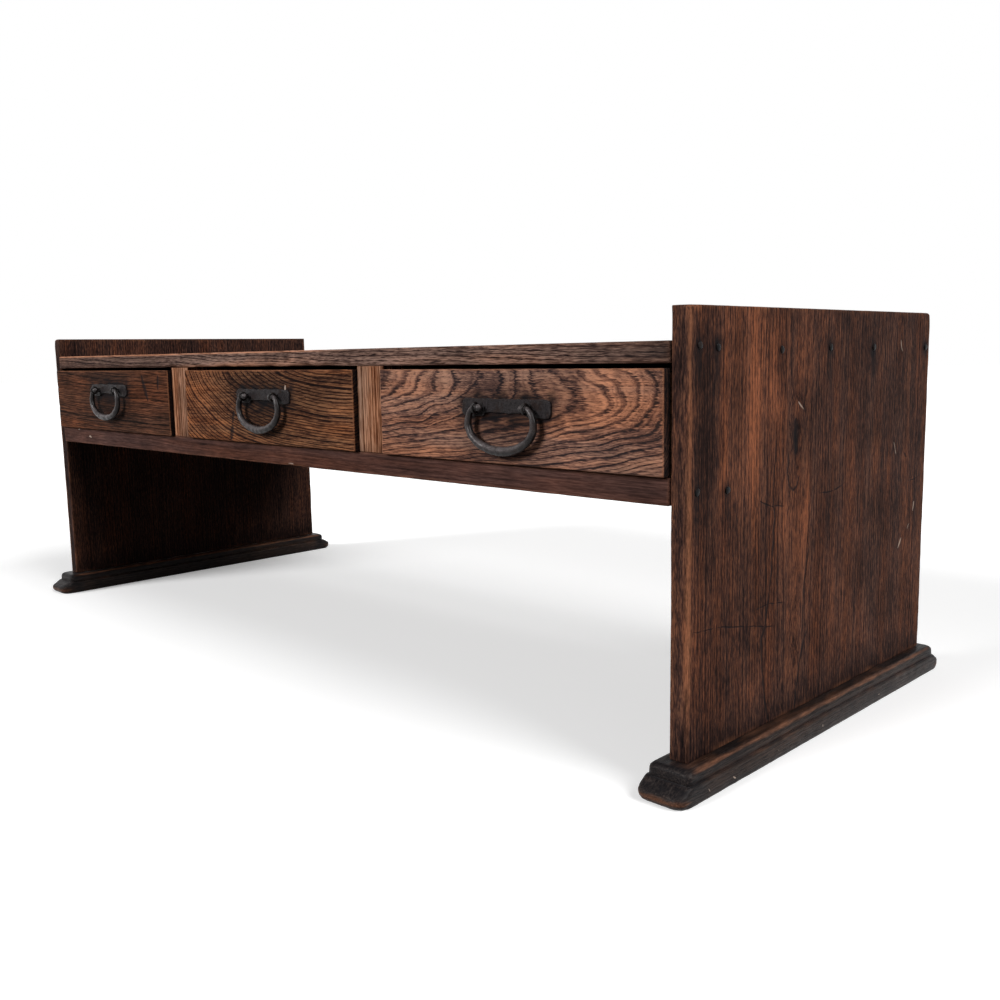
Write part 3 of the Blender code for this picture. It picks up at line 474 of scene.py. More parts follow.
class Wiring:
    """A node tree, with short calls that add and wire its nodes."""

    def __init__(self, tree):
        self.tree = tree

    def feed(self, socket, value):
        if isinstance(value, bpy.types.NodeSocket):
            self.tree.links.new(value, socket)
        else:
            socket.default_value = value

    def node(self, kind, inputs=(), **settings):
        node = self.tree.nodes.new("ShaderNode" + kind)
        for key, value in settings.items():
            setattr(node, key, value)
        for key, value in dict(inputs).items():
            self.feed(node.inputs[key], value)
        return node

    def math(self, operation, *values, clamp=False):
        return self.node("Math", enumerate(values), operation=operation, use_clamp=clamp).outputs[0]

    def vector(self, operation, *values):
        return self.node("VectorMath", enumerate(values), operation=operation).outputs[0]

    def measure(self, operation, *values):
        """A vector sum whose result is a number."""
        return self.node("VectorMath", enumerate(values), operation=operation).outputs["Value"]

    def seen_rays(self):
        """1 for rays from the camera, from reflections and through clear pieces, and 0 for others."""
        rays = self.node("LightPath").outputs
        seen = self.math("MAXIMUM", rays["Is Camera Ray"], rays["Is Glossy Ray"])
        return self.math("MAXIMUM", seen, rays["Is Transmission Ray"])


class Shader(Wiring):
    """A new material's node tree."""

    def __init__(self, name):
        self.material = bpy.data.materials.new(name)
        self.material.use_nodes = True
        super().__init__(self.material.node_tree)
        self.surface = self.tree.nodes["Principled BSDF"]
        self.place = self.node("TexCoord").outputs["Object"]

    def noise(self, factors, offset, detail=2.0, roughness=0.6):
        """Noise of the object's place, with so many waves a metre along each axis."""
        place = self.vector("MULTIPLY_ADD", self.place, factors, offset)
        sockets = {"Vector": place, "Scale": 1.0, "Detail": detail, "Roughness": roughness}
        return self.node("TexNoise", sockets).outputs[0]

    def pulse(self, value):
        """Noise along a line of numbers."""
        sockets = {"W": value, "Scale": 1.0, "Detail": 1.0}
        return self.node("TexNoise", sockets, noise_dimensions="1D").outputs[0]

    def flow(self, rings, along, per_ring, per_metre, detail, seed):
        """Noise that follows the figure: so many waves a ring across it and so many a metre along it."""
        across = self.math("MULTIPLY", rings, per_ring)
        lengthways = self.math("MULTIPLY", along, per_metre)
        place = self.node("CombineXYZ", {0: across, 1: lengthways, 2: 1.7 * seed}).outputs[0]
        sockets = {"Vector": place, "Scale": 1.0, "Detail": detail, "Roughness": 0.62}
        return self.node("TexNoise", sockets).outputs[0]

    def step(self, value, start, end, low=0.0, high=1.0):
        """A smooth step from low to high as the value goes from start to end."""
        sockets = dict(enumerate((value, start, end, low, high)))
        return self.node("MapRange", sockets, interpolation_type="SMOOTHSTEP").outputs[0]

    def mix(self, share, first, second, blend="MIX"):
        first = first if isinstance(first, bpy.types.NodeSocket) else (*first, 1.0)
        second = second if isinstance(second, bpy.types.NodeSocket) else (*second, 1.0)
        sockets = {0: share, 6: first, 7: second}
        return self.node("Mix", sockets, data_type="RGBA", blend_type=blend).outputs[2]

    def tint(self, colour_socket, level):
        """A colour times a brightness."""
        grey = self.node("CombineColor", {0: level, 1: level, 2: level}).outputs[0]
        return self.mix(1.0, colour_socket, grey, "MULTIPLY")

    def ramp(self, value, dark, body, light):
        """Dark at 0, body a little below a half and light at 1, blended between."""
        node = self.node("ValToRGB", {0: value})
        elements = node.color_ramp.elements
        elements[0].color, elements[1].color = (*dark, 1.0), (*light, 1.0)
        elements.new(0.42).color = (*body, 1.0)
        return node.outputs[0]

    def gather(self, start, *terms):
        """A start plus each term's weight times how far its value lies above its middle."""
        total = start
        for value, middle, weight in terms:
            above = self.math("SUBTRACT", value, middle)
            total = self.math("MULTIPLY_ADD", above, weight, total)
        return total

    def squares(self, first, second):
        """The sum of two values' squares."""
        return self.math("MULTIPLY_ADD", first, first, self.math("MULTIPLY", second, second))

    def attribute(self, name):
        return self.node("Attribute", attribute_name=name).outputs["Fac"]

    def finish(self, colour_socket, roughness, height, depth, specular):
        bump = self.node("Bump", {"Strength": 1.0, "Distance": depth, "Height": height}).outputs[0]
        sockets = {"Base Color": colour_socket, "Roughness": roughness, "Normal": bump,
                   "Specular IOR Level": specular, "Metallic": 0.0}
        for key, value in sockets.items():
            self.feed(self.surface.inputs[key], value)
        return self.material


class Grain:
    """How a board was cut from its log. The rings lie round a heart line that runs along one axis. It
    crosses the board's width at heart and lies at depth in its thickness. The lean and the bow let it come
    nearer or go deeper from start onwards. Swirl and ripple are the sizes of its waves. A knot (along,
    across, its reach along and across, its height) pushes the rings out in a bell. Contrast, figure, streaks
    and speckle weigh the pore lines, the broader bands, the long streaks and the finest texture, and fine
    gives that texture's waves a metre along and across the grain."""

    def __init__(self, along, across, heart, depth, ring, lean=0.0, bow=0.0, start=0.0, swirl=0.008,
                 ripple=0.0015, contrast=0.5, figure=0.5, streaks=0.4, speckle=0.8, fine=(60, 700), knots=(),
                 seed=0):
        self.along = AXES.index(along)
        self.across = AXES.index(across)
        self.deep = 3 - self.along - self.across
        self.heart, self.depth, self.ring = heart, depth, ring
        self.lean, self.bow, self.start = lean, bow, start
        self.swirl, self.ripple, self.contrast = swirl, ripple, contrast
        self.figure, self.streaks, self.speckle, self.fine = figure, streaks, speckle, fine
        self.knots, self.seed = knots, seed

    def stretch(self, slow, fast):
        """Noise frequencies: slow along the grain and fast across it."""
        return tuple(slow if axis == self.along else fast for axis in range(3))


def drawer_grain(drawer, low, high):
    """A drawer front's cut: quiet on the left one, arched on the middle one and wild on the right one."""
    if drawer == "left_drawer":
        middle = (low[0] + high[0]) / 2
        return Grain("x", "z", heart=0.40, depth=low[1] + 0.09, ring=0.0030, lean=0.06, start=middle,
                     swirl=0.012, ripple=0.0018, contrast=0.45, figure=0.5, streaks=0.4, speckle=1.5,
                     fine=(60, 800), seed=37)
    if drawer == "middle_drawer":
        return Grain("x", "z", heart=0.318, depth=low[1] - 0.020, ring=0.0030, lean=-0.05, bow=0.80,
                     start=high[0], swirl=0.012, ripple=0.0022, contrast=0.68, figure=0.45, streaks=0.3,
                     speckle=1.3, fine=(80, 850), seed=41)
    return Grain("x", "z", heart=0.287, depth=low[1] - 0.040, ring=0.0029, lean=0.10, bow=0.12, start=low[0],
                 swirl=0.014, ripple=0.0038, contrast=0.58, figure=0.75, streaks=0.4, speckle=1.5,
                 fine=(110, 1000), seed=43)


# Limits of the rings' cut, and how the rings' widths vary along the radius
NEAREST_HEART = 0.002
FLATTEST_CUT = 3.5
PULSES_PER_RING = 0.23
UNEQUAL_RINGS = 2.6


def ring_field(shader, grain):
    """Three sockets: each point's place along the grain, how many rings out from the heart it lies, and how
    flatly the rings cut the face. The rings are its distance from the wavy heart line, plus the knots, over
    the ring's width, made uneven by noise along the radius. The cut is that distance over its share in the
    face, from 1 where the rings stand upright to the flattest cut where they graze it."""
    parts = shader.node("SeparateXYZ", {0: shader.place}).outputs
    along, across, deep = parts[grain.along], parts[grain.across], parts[grain.deep]
    offset = (3.7 * grain.seed, 1.3 * grain.seed, 2.1 * grain.seed)
    swirl = shader.noise(grain.stretch(7, 22), offset, detail=1.0, roughness=0.5)
    ripple = shader.noise(grain.stretch(26, 55), offset, detail=0.6, roughness=0.5)
    from_start = shader.math("SUBTRACT", along, grain.start)
    sink = shader.math("MULTIPLY_ADD", from_start, grain.bow, grain.lean)
    sink = shader.gather(shader.math("MULTIPLY", from_start, sink), (swirl, MEAN, grain.swirl))
    below = shader.math("ADD", shader.math("SUBTRACT", deep, grain.depth), sink)
    beside = shader.math("SUBTRACT", across, grain.heart)
    reach = shader.math("SQRT", shader.squares(below, beside))
    reach = shader.gather(reach, (ripple, MEAN, grain.ripple))
    for knot_along, knot_across, long_reach, short_reach, height in grain.knots:
        lengthways = shader.math("DIVIDE", shader.math("SUBTRACT", along, knot_along), long_reach)
        sideways = shader.math("DIVIDE", shader.math("SUBTRACT", across, knot_across), short_reach)
        fall = shader.math("MULTIPLY", shader.squares(lengthways, sideways), -1.0)
        reach = shader.math("MULTIPLY_ADD", shader.math("EXPONENT", fall), height, reach)
    rings = shader.math("DIVIDE", reach, grain.ring)
    in_face = shader.math("MAXIMUM", shader.math("ABSOLUTE", beside), NEAREST_HEART)
    graze = shader.math("MINIMUM", shader.math("DIVIDE", reach, in_face), FLATTEST_CUT)
    pulse = shader.pulse(shader.math("MULTIPLY", rings, PULSES_PER_RING))
    return along, shader.gather(rings, (pulse, MEAN, UNEQUAL_RINGS)), graze


class Texture:
    """The fields that a board's look is mixed from, each a socket. Noises on the board: speck, fibre, ragged
    and streak run along the grain, from the finest to the longest, hue and bitten lie in short strips, and
    patina in patches. Fields on the rings: silk and coarse vary their brightness, band is each ring's dark,
    ragged pore line, which fades into its late wood, thin is the fainter lines between, and pits are single
    pores."""

    bands_per_ring = 0.19
    pores_fade = (0.36, 0.05)
    pores_start = (0.92, 1.0)
    lines_per_ring = 3.1
    lines_fade = (0.62, 0.05)
    pits_from = (0.56, 0.70)

    def __init__(self, shader, grain):
        slow, fast = grain.fine
        offset = (1.9 * grain.seed, 2.7 * grain.seed, 0.8 * grain.seed)
        along, rings, graze = ring_field(shader, grain)
        self.speck = shader.noise(grain.stretch(slow, fast), offset, roughness=0.65)
        self.fibre = shader.noise(grain.stretch(slow * 0.22, fast * 0.75), offset)
        self.ragged = shader.noise(grain.stretch(slow * 0.4, fast * 0.22), offset)
        self.streak = shader.noise(grain.stretch(2.6, fast * 0.08), offset, detail=3.0, roughness=0.65)
        self.hue = shader.noise(grain.stretch(4.0, 55.0), offset)
        self.bitten = shader.noise(grain.stretch(16, 70), offset)
        self.patina = shader.noise((15.0, 15.0, 15.0), offset, detail=4.0, roughness=0.62)
        self.silk = shader.flow(rings, along, per_ring=1.5, per_metre=slow * 0.14, detail=4.0,
                                seed=grain.seed)
        self.coarse = shader.pulse(shader.math("MULTIPLY_ADD", rings, self.bands_per_ring, grain.seed))
        jag = shader.gather(0.0, (self.speck, MEAN, 0.22), (self.ragged, MEAN, 0.06))
        jagged = shader.math("MULTIPLY_ADD", jag, graze, rings)
        share = shader.math("FRACT", jagged)
        fading = shader.step(share, *self.pores_fade)
        line = shader.math("MAXIMUM", fading, shader.step(share, *self.pores_start))
        self.band = shader.math("MULTIPLY", line, shader.step(self.ragged, 0.2, 0.55, 0.6, 1.0))
        finer = shader.math("FRACT", shader.math("MULTIPLY", jagged, self.lines_per_ring))
        self.thin = shader.step(finer, *self.lines_fade)
        dashes = shader.flow(rings, along, per_ring=2.4, per_metre=slow * 0.5, detail=1.0,
                             seed=grain.seed + 4)
        self.pits = shader.step(dashes, *self.pits_from)


def scratch_group():
    """A node group: how strongly a point lies on the straight scratch between two points, which is widest
    in its middle and runs out at its ends."""
    group = bpy.data.node_groups.new("Scratch", "ShaderNodeTree")
    for label, kind in (("Place", "Vector"), ("Start", "Vector"), ("End", "Vector"), ("Width", "Float")):
        group.interface.new_socket(label, in_out="INPUT", socket_type="NodeSocket" + kind)
    group.interface.new_socket("Mask", in_out="OUTPUT", socket_type="NodeSocketFloat")
    given = group.nodes.new("NodeGroupInput").outputs
    result = group.nodes.new("NodeGroupOutput").inputs
    wiring = Wiring(group)
    run = wiring.vector("SUBTRACT", given["End"], given["Start"])
    reach = wiring.vector("SUBTRACT", given["Place"], given["Start"])
    share = wiring.math("DIVIDE", wiring.measure("DOT_PRODUCT", reach, run),
                        wiring.measure("DOT_PRODUCT", run, run))
    nearest = wiring.node("VectorMath", {0: run, "Scale": share}, operation="SCALE").outputs[0]
    off = wiring.measure("DISTANCE", reach, nearest)
    swell = wiring.math("MULTIPLY", wiring.math("MULTIPLY", share, wiring.math("SUBTRACT", 1.0, share)), 4.0)
    taper = wiring.math("POWER", wiring.math("MAXIMUM", swell, 0.0), 0.4)
    width = wiring.math("MAXIMUM", wiring.math("MULTIPLY", given["Width"], taper), 0.00001)
    depth = wiring.math("SUBTRACT", 1.0, wiring.math("DIVIDE", off, width))
    wiring.feed(result["Mask"], wiring.math("MULTIPLY", depth, 1.6, clamp=True))
    return group


def scratches(shader, marks):
    """The strongest of some scratches (start, end, width), whose lines are made to waver by noise."""
    waver = 0.004
    group = bpy.data.node_groups.get("Scratch") or scratch_group()
    sway = shader.node("TexNoise", {"Vector": shader.place, "Scale": 55.0, "Detail": 2.0}).outputs[1]
    sway = shader.vector("SUBTRACT", sway, (MEAN, MEAN, MEAN))
    place = shader.vector("MULTIPLY_ADD", sway, (waver, waver, waver), shader.place)
    strongest = None
    for start, end, width in marks:
        node = shader.node("Group", node_tree=group)
        for label, value in (("Place", place), ("Start", start), ("End", end), ("Width", width)):
            shader.feed(node.inputs[label], value)
        mask = node.outputs["Mask"]
        strongest = mask if strongest is None else shader.math("MAXIMUM", strongest, mask)
    return strongest


# Wood's point attributes, for wear and painted light and shade, and their values where a board reads none
ATTRIBUTE_DEFAULTS = {"tone": 1.0, "stain": 0.0, "arris": 1.0, "rub": 0.0, "frayed": 0.0}

# The least rub, which is divided by, and the heights of the bumps in wood and iron
LEAST_RUB = 0.0001
WOOD_RELIEF = 0.00020
IRON_RELIEF = 0.00018


def wood(name, grain, colours, finish, rub=0.0, dark_marks=(), pale_marks=(), roughness=0.52, gloss=0.012,
         reads_attributes=True):
    """Old lacquered wood. The fields of its texture add up to one value, which a ramp turns into colour.
    Streaks then turn it cool or warm. Point attributes say where arrises are rubbed, and along the feet's
    step where a highlight is painted (arris, rub), where it is stained black, and where shade is
    painted (stain), how bright it is (tone), and where its fibres are frayed and grey, and on the
    feet's ends where a grey sheen is painted (frayed). A board that reads no attributes has none of
    these. Marks are scratches, and rub is how far the rubbed colour reaches from an arris."""
    shader = Shader(name)
    wear = {key: shader.attribute(key) if reads_attributes else value for key, value in ATTRIBUTE_DEFAULTS.items()}
    tone, frayed = wear["tone"], wear["frayed"]
    light, body, dark = (getattr(colours, finish + shade) for shade in ("_light", "_body", "_dark"))
    texture = Texture(shader, grain)
    speck, patina, ragged, bitten = texture.speck, texture.patina, texture.ragged, texture.bitten

    # Each middle is about the field's mean, so a weight changes the contrast and hardly the tone
    value = shader.gather(0.46, (texture.coarse, MEAN, 1.3 * grain.figure),
                          (texture.silk, MEAN, 1.6 * grain.figure), (texture.streak, MEAN, grain.streaks),
                          (texture.fibre, MEAN, 0.6 * grain.speckle), (speck, MEAN, grain.speckle),
                          (patina, MEAN, 0.25), (tone, 1.0, 0.45), (texture.band, 0.24, -grain.contrast),
                          (texture.thin, 0.34, -0.45 * grain.contrast),
                          (texture.pits, 0.12, -0.22 * grain.contrast))
    # Frayed fibres, and the sheen painted on the feet's ends, add speckle and grey
    torn = shader.math("MULTIPLY", frayed, shader.math("SUBTRACT", speck, MEAN))
    value = shader.math("MULTIPLY_ADD", torn, 1.5, value)
    level = shader.math("MULTIPLY", tone, shader.step(patina, 0.25, 0.75, 0.78, 1.22))
    wood_colour = shader.tint(shader.ramp(value, dark, body, light), level)
    warmth = shader.gather(texture.hue, (tone, 1.0, 0.65), (patina, MEAN, 0.4), (frayed, 0.0, -0.28))
    streaked = shader.mix(shader.step(warmth, 0.25, 0.75), colours.cool, colours.warm)
    wood_colour = shader.mix(1.0, wood_colour, streaked, "MULTIPLY")
    # Black stains, and the shade painted where the attribute says
    stain = shader.math("MULTIPLY", wear["stain"], shader.step(ragged, 0.15, 0.7, 0.75, 1.1), clamp=True)
    wood_colour = shader.mix(stain, wood_colour, colours.stain)

    # Arrises are rubbed back unevenly, to the wood below the finish. Along the feet's step the same colour
    # is a painted highlight
    reach = shader.math("MULTIPLY", shader.step(bitten, 0.25, 0.75, 0.6, 1.4), max(rub, LEAST_RUB))
    edge = shader.math("SUBTRACT", 1.0, shader.math("DIVIDE", wear["arris"], reach), clamp=True)
    edge = shader.math("MULTIPLY", edge, wear["rub"])
    broken = shader.gather(1.0, (speck, MEAN, 1.2), (bitten, MEAN, 0.9))
    edge = shader.math("MULTIPLY", edge, broken, clamp=True)
    rubbed = shader.tint(shader.mix(0.2, colours.worn, wood_colour), shader.gather(1.0, (speck, MEAN, 1.5)))
    wood_colour = shader.mix(edge, wood_colour, rubbed)

    height = shader.gather(0.0, (texture.fibre, MEAN, 0.5), (texture.pits, 0.0, -0.7),
                           (texture.band, 0.0, -0.4), (speck, MEAN, 0.5))
    height = shader.math("MULTIPLY_ADD", bitten, shader.math("MULTIPLY", edge, 0.6), height)
    rough = shader.gather(roughness, (patina, MEAN, -0.25), (texture.band, 0.0, 0.10), (edge, 0.0, 0.10))
    for marks, paint, sunk in ((dark_marks, colours.stain, -1.2), (pale_marks, colours.bare, -0.6)):
        if marks:
            mask = scratches(shader, marks)
            wood_colour = shader.mix(shader.math("MULTIPLY", mask, 0.8), wood_colour, paint)
            height = shader.math("MULTIPLY_ADD", mask, sunk, height)
    return shader.finish(wood_colour, rough, height, WOOD_RELIEF, gloss)


def iron(name, colours, seed, base="iron", rubbed="iron_rub", specular=0.04, reads_attributes=False):
    """Forged and blackened iron: hammered dimples, mottled oxide, and crests rubbed a little brighter. A
    piece that reads attributes also has a highlight painted where its point attribute rub
    says so."""
    shader = Shader(name)
    offset = (seed * 2.3, seed * 1.1, seed * 0.7)
    hammer = shader.noise((210.0, 210.0, 210.0), offset, detail=1.0, roughness=0.4)
    mottle = shader.noise((95.0, 95.0, 95.0), offset, detail=4.0, roughness=0.65)
    speck = shader.noise((900.0, 900.0, 900.0), offset)
    metal = shader.mix(shader.step(mottle, 0.48, 0.75), getattr(colours, base), colours.rust)
    metal = shader.mix(shader.step(hammer, 0.55, 0.80, 0.0, 0.6), metal, getattr(colours, rubbed))
    if reads_attributes:
        # The painted highlight, broken up by the mottle
        polish = shader.math("MULTIPLY", shader.attribute("rub"), shader.step(mottle, 0.3, 0.6, 0.45, 1.0))
        metal = shader.mix(polish, metal, colours.polish)
    metal = shader.tint(metal, shader.step(speck, 0.25, 0.75, 0.55, 1.45))
    height = shader.math("MULTIPLY_ADD", speck, 0.25, hammer)
    rough = shader.step(mottle, 0.25, 0.75, 0.24, 0.36)
    return shader.finish(metal, rough, height, IRON_RELIEF, specular)


# Operators

class TableOperator:
    """What the operators share: the scene's colours and sizes."""

    bl_options = {"REGISTER", "UNDO"}

    def execute(self, context):
        self.build(context.scene.table_colours, context.scene.table_sizes)
        return {"FINISHED"}


class TABLE_OT_side_panels(TableOperator, bpy.types.Operator):
    """Side panels with upright grain, rubbed front arrises and iron stains round their nails"""

    bl_idname = "writing_table.side_panels"
    bl_label = "Side Panels"

    # Reaches of the iron stain round a nail and of its run below, and how dark the far panel is
    halo_reach = (0.006, 0.0050, 0.0060)
    run_reach = (0.006, 0.0045, 0.016)
    run_drop = (0.0, 0.0, 0.012)
    left_tone = 0.8

    def nail_stains(self, side, points):
        """A dark halo round each nail and a fainter run below it."""
        stain = np.zeros(len(points))
        for nail in nail_nodes(side):
            spot = sum(corners(nail)) / 2
            spot[0] = outer_face(side)
            stain += 0.85 * soft_spot(points, spot, self.halo_reach)
            stain += 0.50 * soft_spot(points, spot - self.run_drop, self.run_reach)
        return np.clip(stain * (1 + 0.25 * waves(points, 0.02, 31)), 0, 0.9)

    def build(self, colours, sizes):
        for side, sign in SIDES.items():
            low, high = corners(side + "_side_panel")
            low[2] = corners(side + "_foot")[1][2] + SEAT
            outer = outer_face(side)
            bites = [((outer, low[1], high[2]), 0.007, 0.0020),
                     ((outer, low[1], high[2] - 0.06), 0.02, 0.0005),
                     ((outer, low[1], low[2] + 0.10), 0.05, 0.0006),
                     ((outer, high[1], high[2]), 0.006, 0.0012)]
            points, quads, arris = worn_box(low, high, sizes.panel_ease, pitch=0.003, seed=11 + sign,
                                            unevenness=sizes.unevenness, bites=bites)
            x, y, z = points.T
            front = part_way(y, low[1] + 0.020, low[1] + 0.002)
            outside = part_way(np.abs(x - outer), 0.008, 0.0)
            above_foot = part_way(z, low[2] + 0.01, low[2] + 0.08)
            brushed = front * outside * above_foot
            rub = np.clip(0.12 + 0.65 * brushed + 0.10 * waves(points, 0.04, 21 + sign), 0, 1)
            tone = np.ones(len(points))
            for spot_y, spot_z, reach_y, reach_z, gain in PANEL_TONES:
                tone += gain * soft_spot(points, (outer, spot_y, spot_z), (TONE_DEPTH, reach_y, reach_z))
            tone *= 1 - 0.35 * part_way(z, low[2] + 0.03, low[2])
            tone += 0.35 * brushed * np.exp(-(arris / 0.008) ** 2)
            if sign < 0:
                tone *= self.left_tone
            grain = Grain("z", "y", heart=-0.048 * sign, depth=outer - sign * 0.026, ring=0.0036,
                          lean=-0.015 * sign, start=0.203, swirl=0.010, ripple=0.0020, contrast=0.30,
                          figure=0.24, streaks=0.36, speckle=1.7, fine=(170, 1000), knots=PANEL_KNOTS,
                          seed=2 + sign)
            marks = PANEL_MARKS if sign > 0 else ()
            chips = PANEL_CHIPS if sign > 0 else ()
            material = wood(side + "_panel_elm", grain, colours, "panel", sizes.panel_rub, marks, chips)
            add_piece(side + "_panel_board", points, quads, material, "carcass", [side + "_side_panel"],
                      "panel_elm", arris=arris, rub=rub, stain=self.nail_stains(side, points), tone=tone)


class TABLE_OT_feet(TableOperator, bpy.types.Operator):
    """Sledge feet with sloped, bull-nosed ends under a rounded step"""

    bl_idname = "writing_table.feet"
    bl_label = "Sledge Feet"

    # Corner radii from the floor up, the roundings between, and shares of the nose's height and slope's run
    block_corner = 0.0090
    slope_corner = 0.0055
    edge_corner = 0.0050
    step_corner = 0.0042
    shoulder_corner = 0.0045
    slope_draw = 0.0003
    edge_draw = 0.0004
    edge_round = 0.0008
    top_flat = 0.002
    swell_share = 0.75
    brow_share = 1.10
    brow_run = 0.15

    def levels(self, top, sizes):
        """Rows of side inset, end inset, corner radius and height, from the floor up. The end swells out
        along an ellipse to the nose, falls back over a rounded brow and runs up the slope to a rounded
        edge. The step above it rises from a cove to a quarter round and a flat top."""

        def band(side, end, corner, height):
            """The rows of one band, as many as its longest column."""
            return np.column_stack(np.broadcast_arrays(side, end, corner, height))

        turn = np.linspace(0, RIGHT_ANGLE, 8)
        sine, cosine = np.sin(turn), np.cos(turn)
        edge, cove = slice(2, None, 2), slice(1, None, 2)
        nose, brow_top = sizes.nose_height, sizes.nose_height * self.brow_share
        block_top = sizes.nose_height + sizes.slope_rise
        brow = np.array((0.4, 0.7, 1.0))
        slope = np.linspace(0.12, 0.9, 5)
        hollow = sizes.step_cove * (1 - sine[cove])
        shoulder = sizes.step_round * (1 - cosine)
        flat = sizes.step_round + self.top_flat
        return np.concatenate((
            band(sizes.foot_undercut * (1 - sine), sizes.nose_tuck * (1 - sine), self.block_corner,
                 nose * self.swell_share * (1 - cosine)),
            band(0.0, sizes.slope_run * self.brow_run * brow ** 2, self.block_corner,
                 nose * self.swell_share + (brow_top - nose * self.swell_share) * brow),
            band(self.slope_draw * slope, sizes.slope_run * (self.brow_run + (1 - self.brow_run) * slope),
                 self.block_corner + (self.slope_corner - self.block_corner) * slope,
                 brow_top + (block_top - brow_top) * slope),
            band(self.edge_draw + self.edge_round * (1 - cosine[edge]),
                 sizes.slope_run * (slope[-1] + (1 - slope[-1]) * sine[edge]),
                 self.edge_corner, block_top - self.edge_round * (1 - sine[edge])),
            band(sizes.step_side + sizes.step_cove, sizes.step_end + sizes.step_cove, self.step_corner,
                 block_top),
            band(sizes.step_side + hollow, sizes.step_end + hollow, self.step_corner,
                 block_top + sizes.step_cove * (1 - cosine[cove])),
            band(sizes.step_side + shoulder, sizes.step_end + shoulder, self.shoulder_corner,
                 top - sizes.step_round * (1 - sine)),
            band(sizes.step_side + flat, sizes.step_end + flat, self.step_corner, top)))

    def build(self, colours, sizes):
        block_top = sizes.nose_height + sizes.slope_rise
        for seed, side in enumerate(SIDES):
            low, high = corners(side + "_foot")
            middle = (low + high) / 2
            half = (high - low) / 2
            levels = self.levels(high[2], sizes)
            rings = []
            for inset_x, inset_y, radius, height in levels:
                outline = rounded_outline(half[0] - inset_x, half[1] - inset_y, radius, 12, 130) + middle[:2]
                rings.append(np.column_stack((outline, np.full(len(outline), height))))
            points, faces = closed_stack(np.array(rings))
            to_end = half[1] - np.abs(points[:, 1] - middle[1])
            nose = part_way(to_end, 0.024, 0.008)
            out = (points - middle) / half * (1.0, 0.6, 0.0)
            dent = 0.00012 * waves(points, 0.03, 41 + seed) + 0.00030 * nose * waves(points, 0.009, 43 + seed)
            points = points - out * np.abs(dent)[:, None]

            z = points[:, 2]
            low_brow = np.abs(z - sizes.nose_height * 0.60) + 0.004 * (1 - nose)
            shoulder = 1.7 * np.abs(z - high[2] + sizes.step_round * 0.30)
            block_edge = np.abs(z - block_top) + 0.0008
            arris = np.minimum(np.minimum(low_brow, shoulder), block_edge)
            worn_nose = nose * (z < sizes.nose_height)
            ends = part_way(to_end, 0.034, 0.022)
            # Along the step, away from the ends, the rubbed colour is a painted highlight on the shoulder
            lengthways = part_way(to_end, 0.018, 0.026) * (z > block_top + 0.002)
            rub = 0.08 * (1 - ends) * (1 + waves(points, 0.03, 45 + seed))
            rub += 0.42 * worn_nose + 0.50 * lengthways
            # The ends are darkened and greyed, and the grey is a painted sheen
            grey = ends * (1 - worn_nose)
            row = np.repeat(np.arange(len(levels)), len(points) // len(levels))
            step_row = np.argmax(levels[:, 0] > sizes.step_side)
            # Painted shade: a dark line in the cove at the foot of the step
            painted_cove_shade = np.exp(-((row - step_row) / 1.1) ** 2)
            stain = np.clip(0.7 * painted_cove_shade + 0.60 * grey * (1 + 0.2 * waves(points, 0.012, 47 + seed)), 0, 0.85)
            tone = 0.95 - 0.10 * part_way(z, block_top + 0.002, block_top + 0.008) + 0.12 * grey
            grain = Grain("y", "x", heart=middle[0] + 0.004, depth=-0.050, ring=0.0032, swirl=0.006,
                          ripple=0.0012, contrast=0.2, figure=0.25, streaks=0.4, speckle=1.1, fine=(90, 800),
                          seed=7 + seed)
            material = wood(side + "_foot_elm", grain, colours, "foot", sizes.foot_rub, pale_marks=FOOT_CHIPS,
                            roughness=0.34, gloss=0.05)
            add_piece(side + "_sledge_foot", points, faces, material, "carcass", [side + "_foot"], "foot_elm",
                      arris=arris, rub=np.clip(rub, 0, 1), stain=stain, tone=tone, frayed=1.2 * grey)


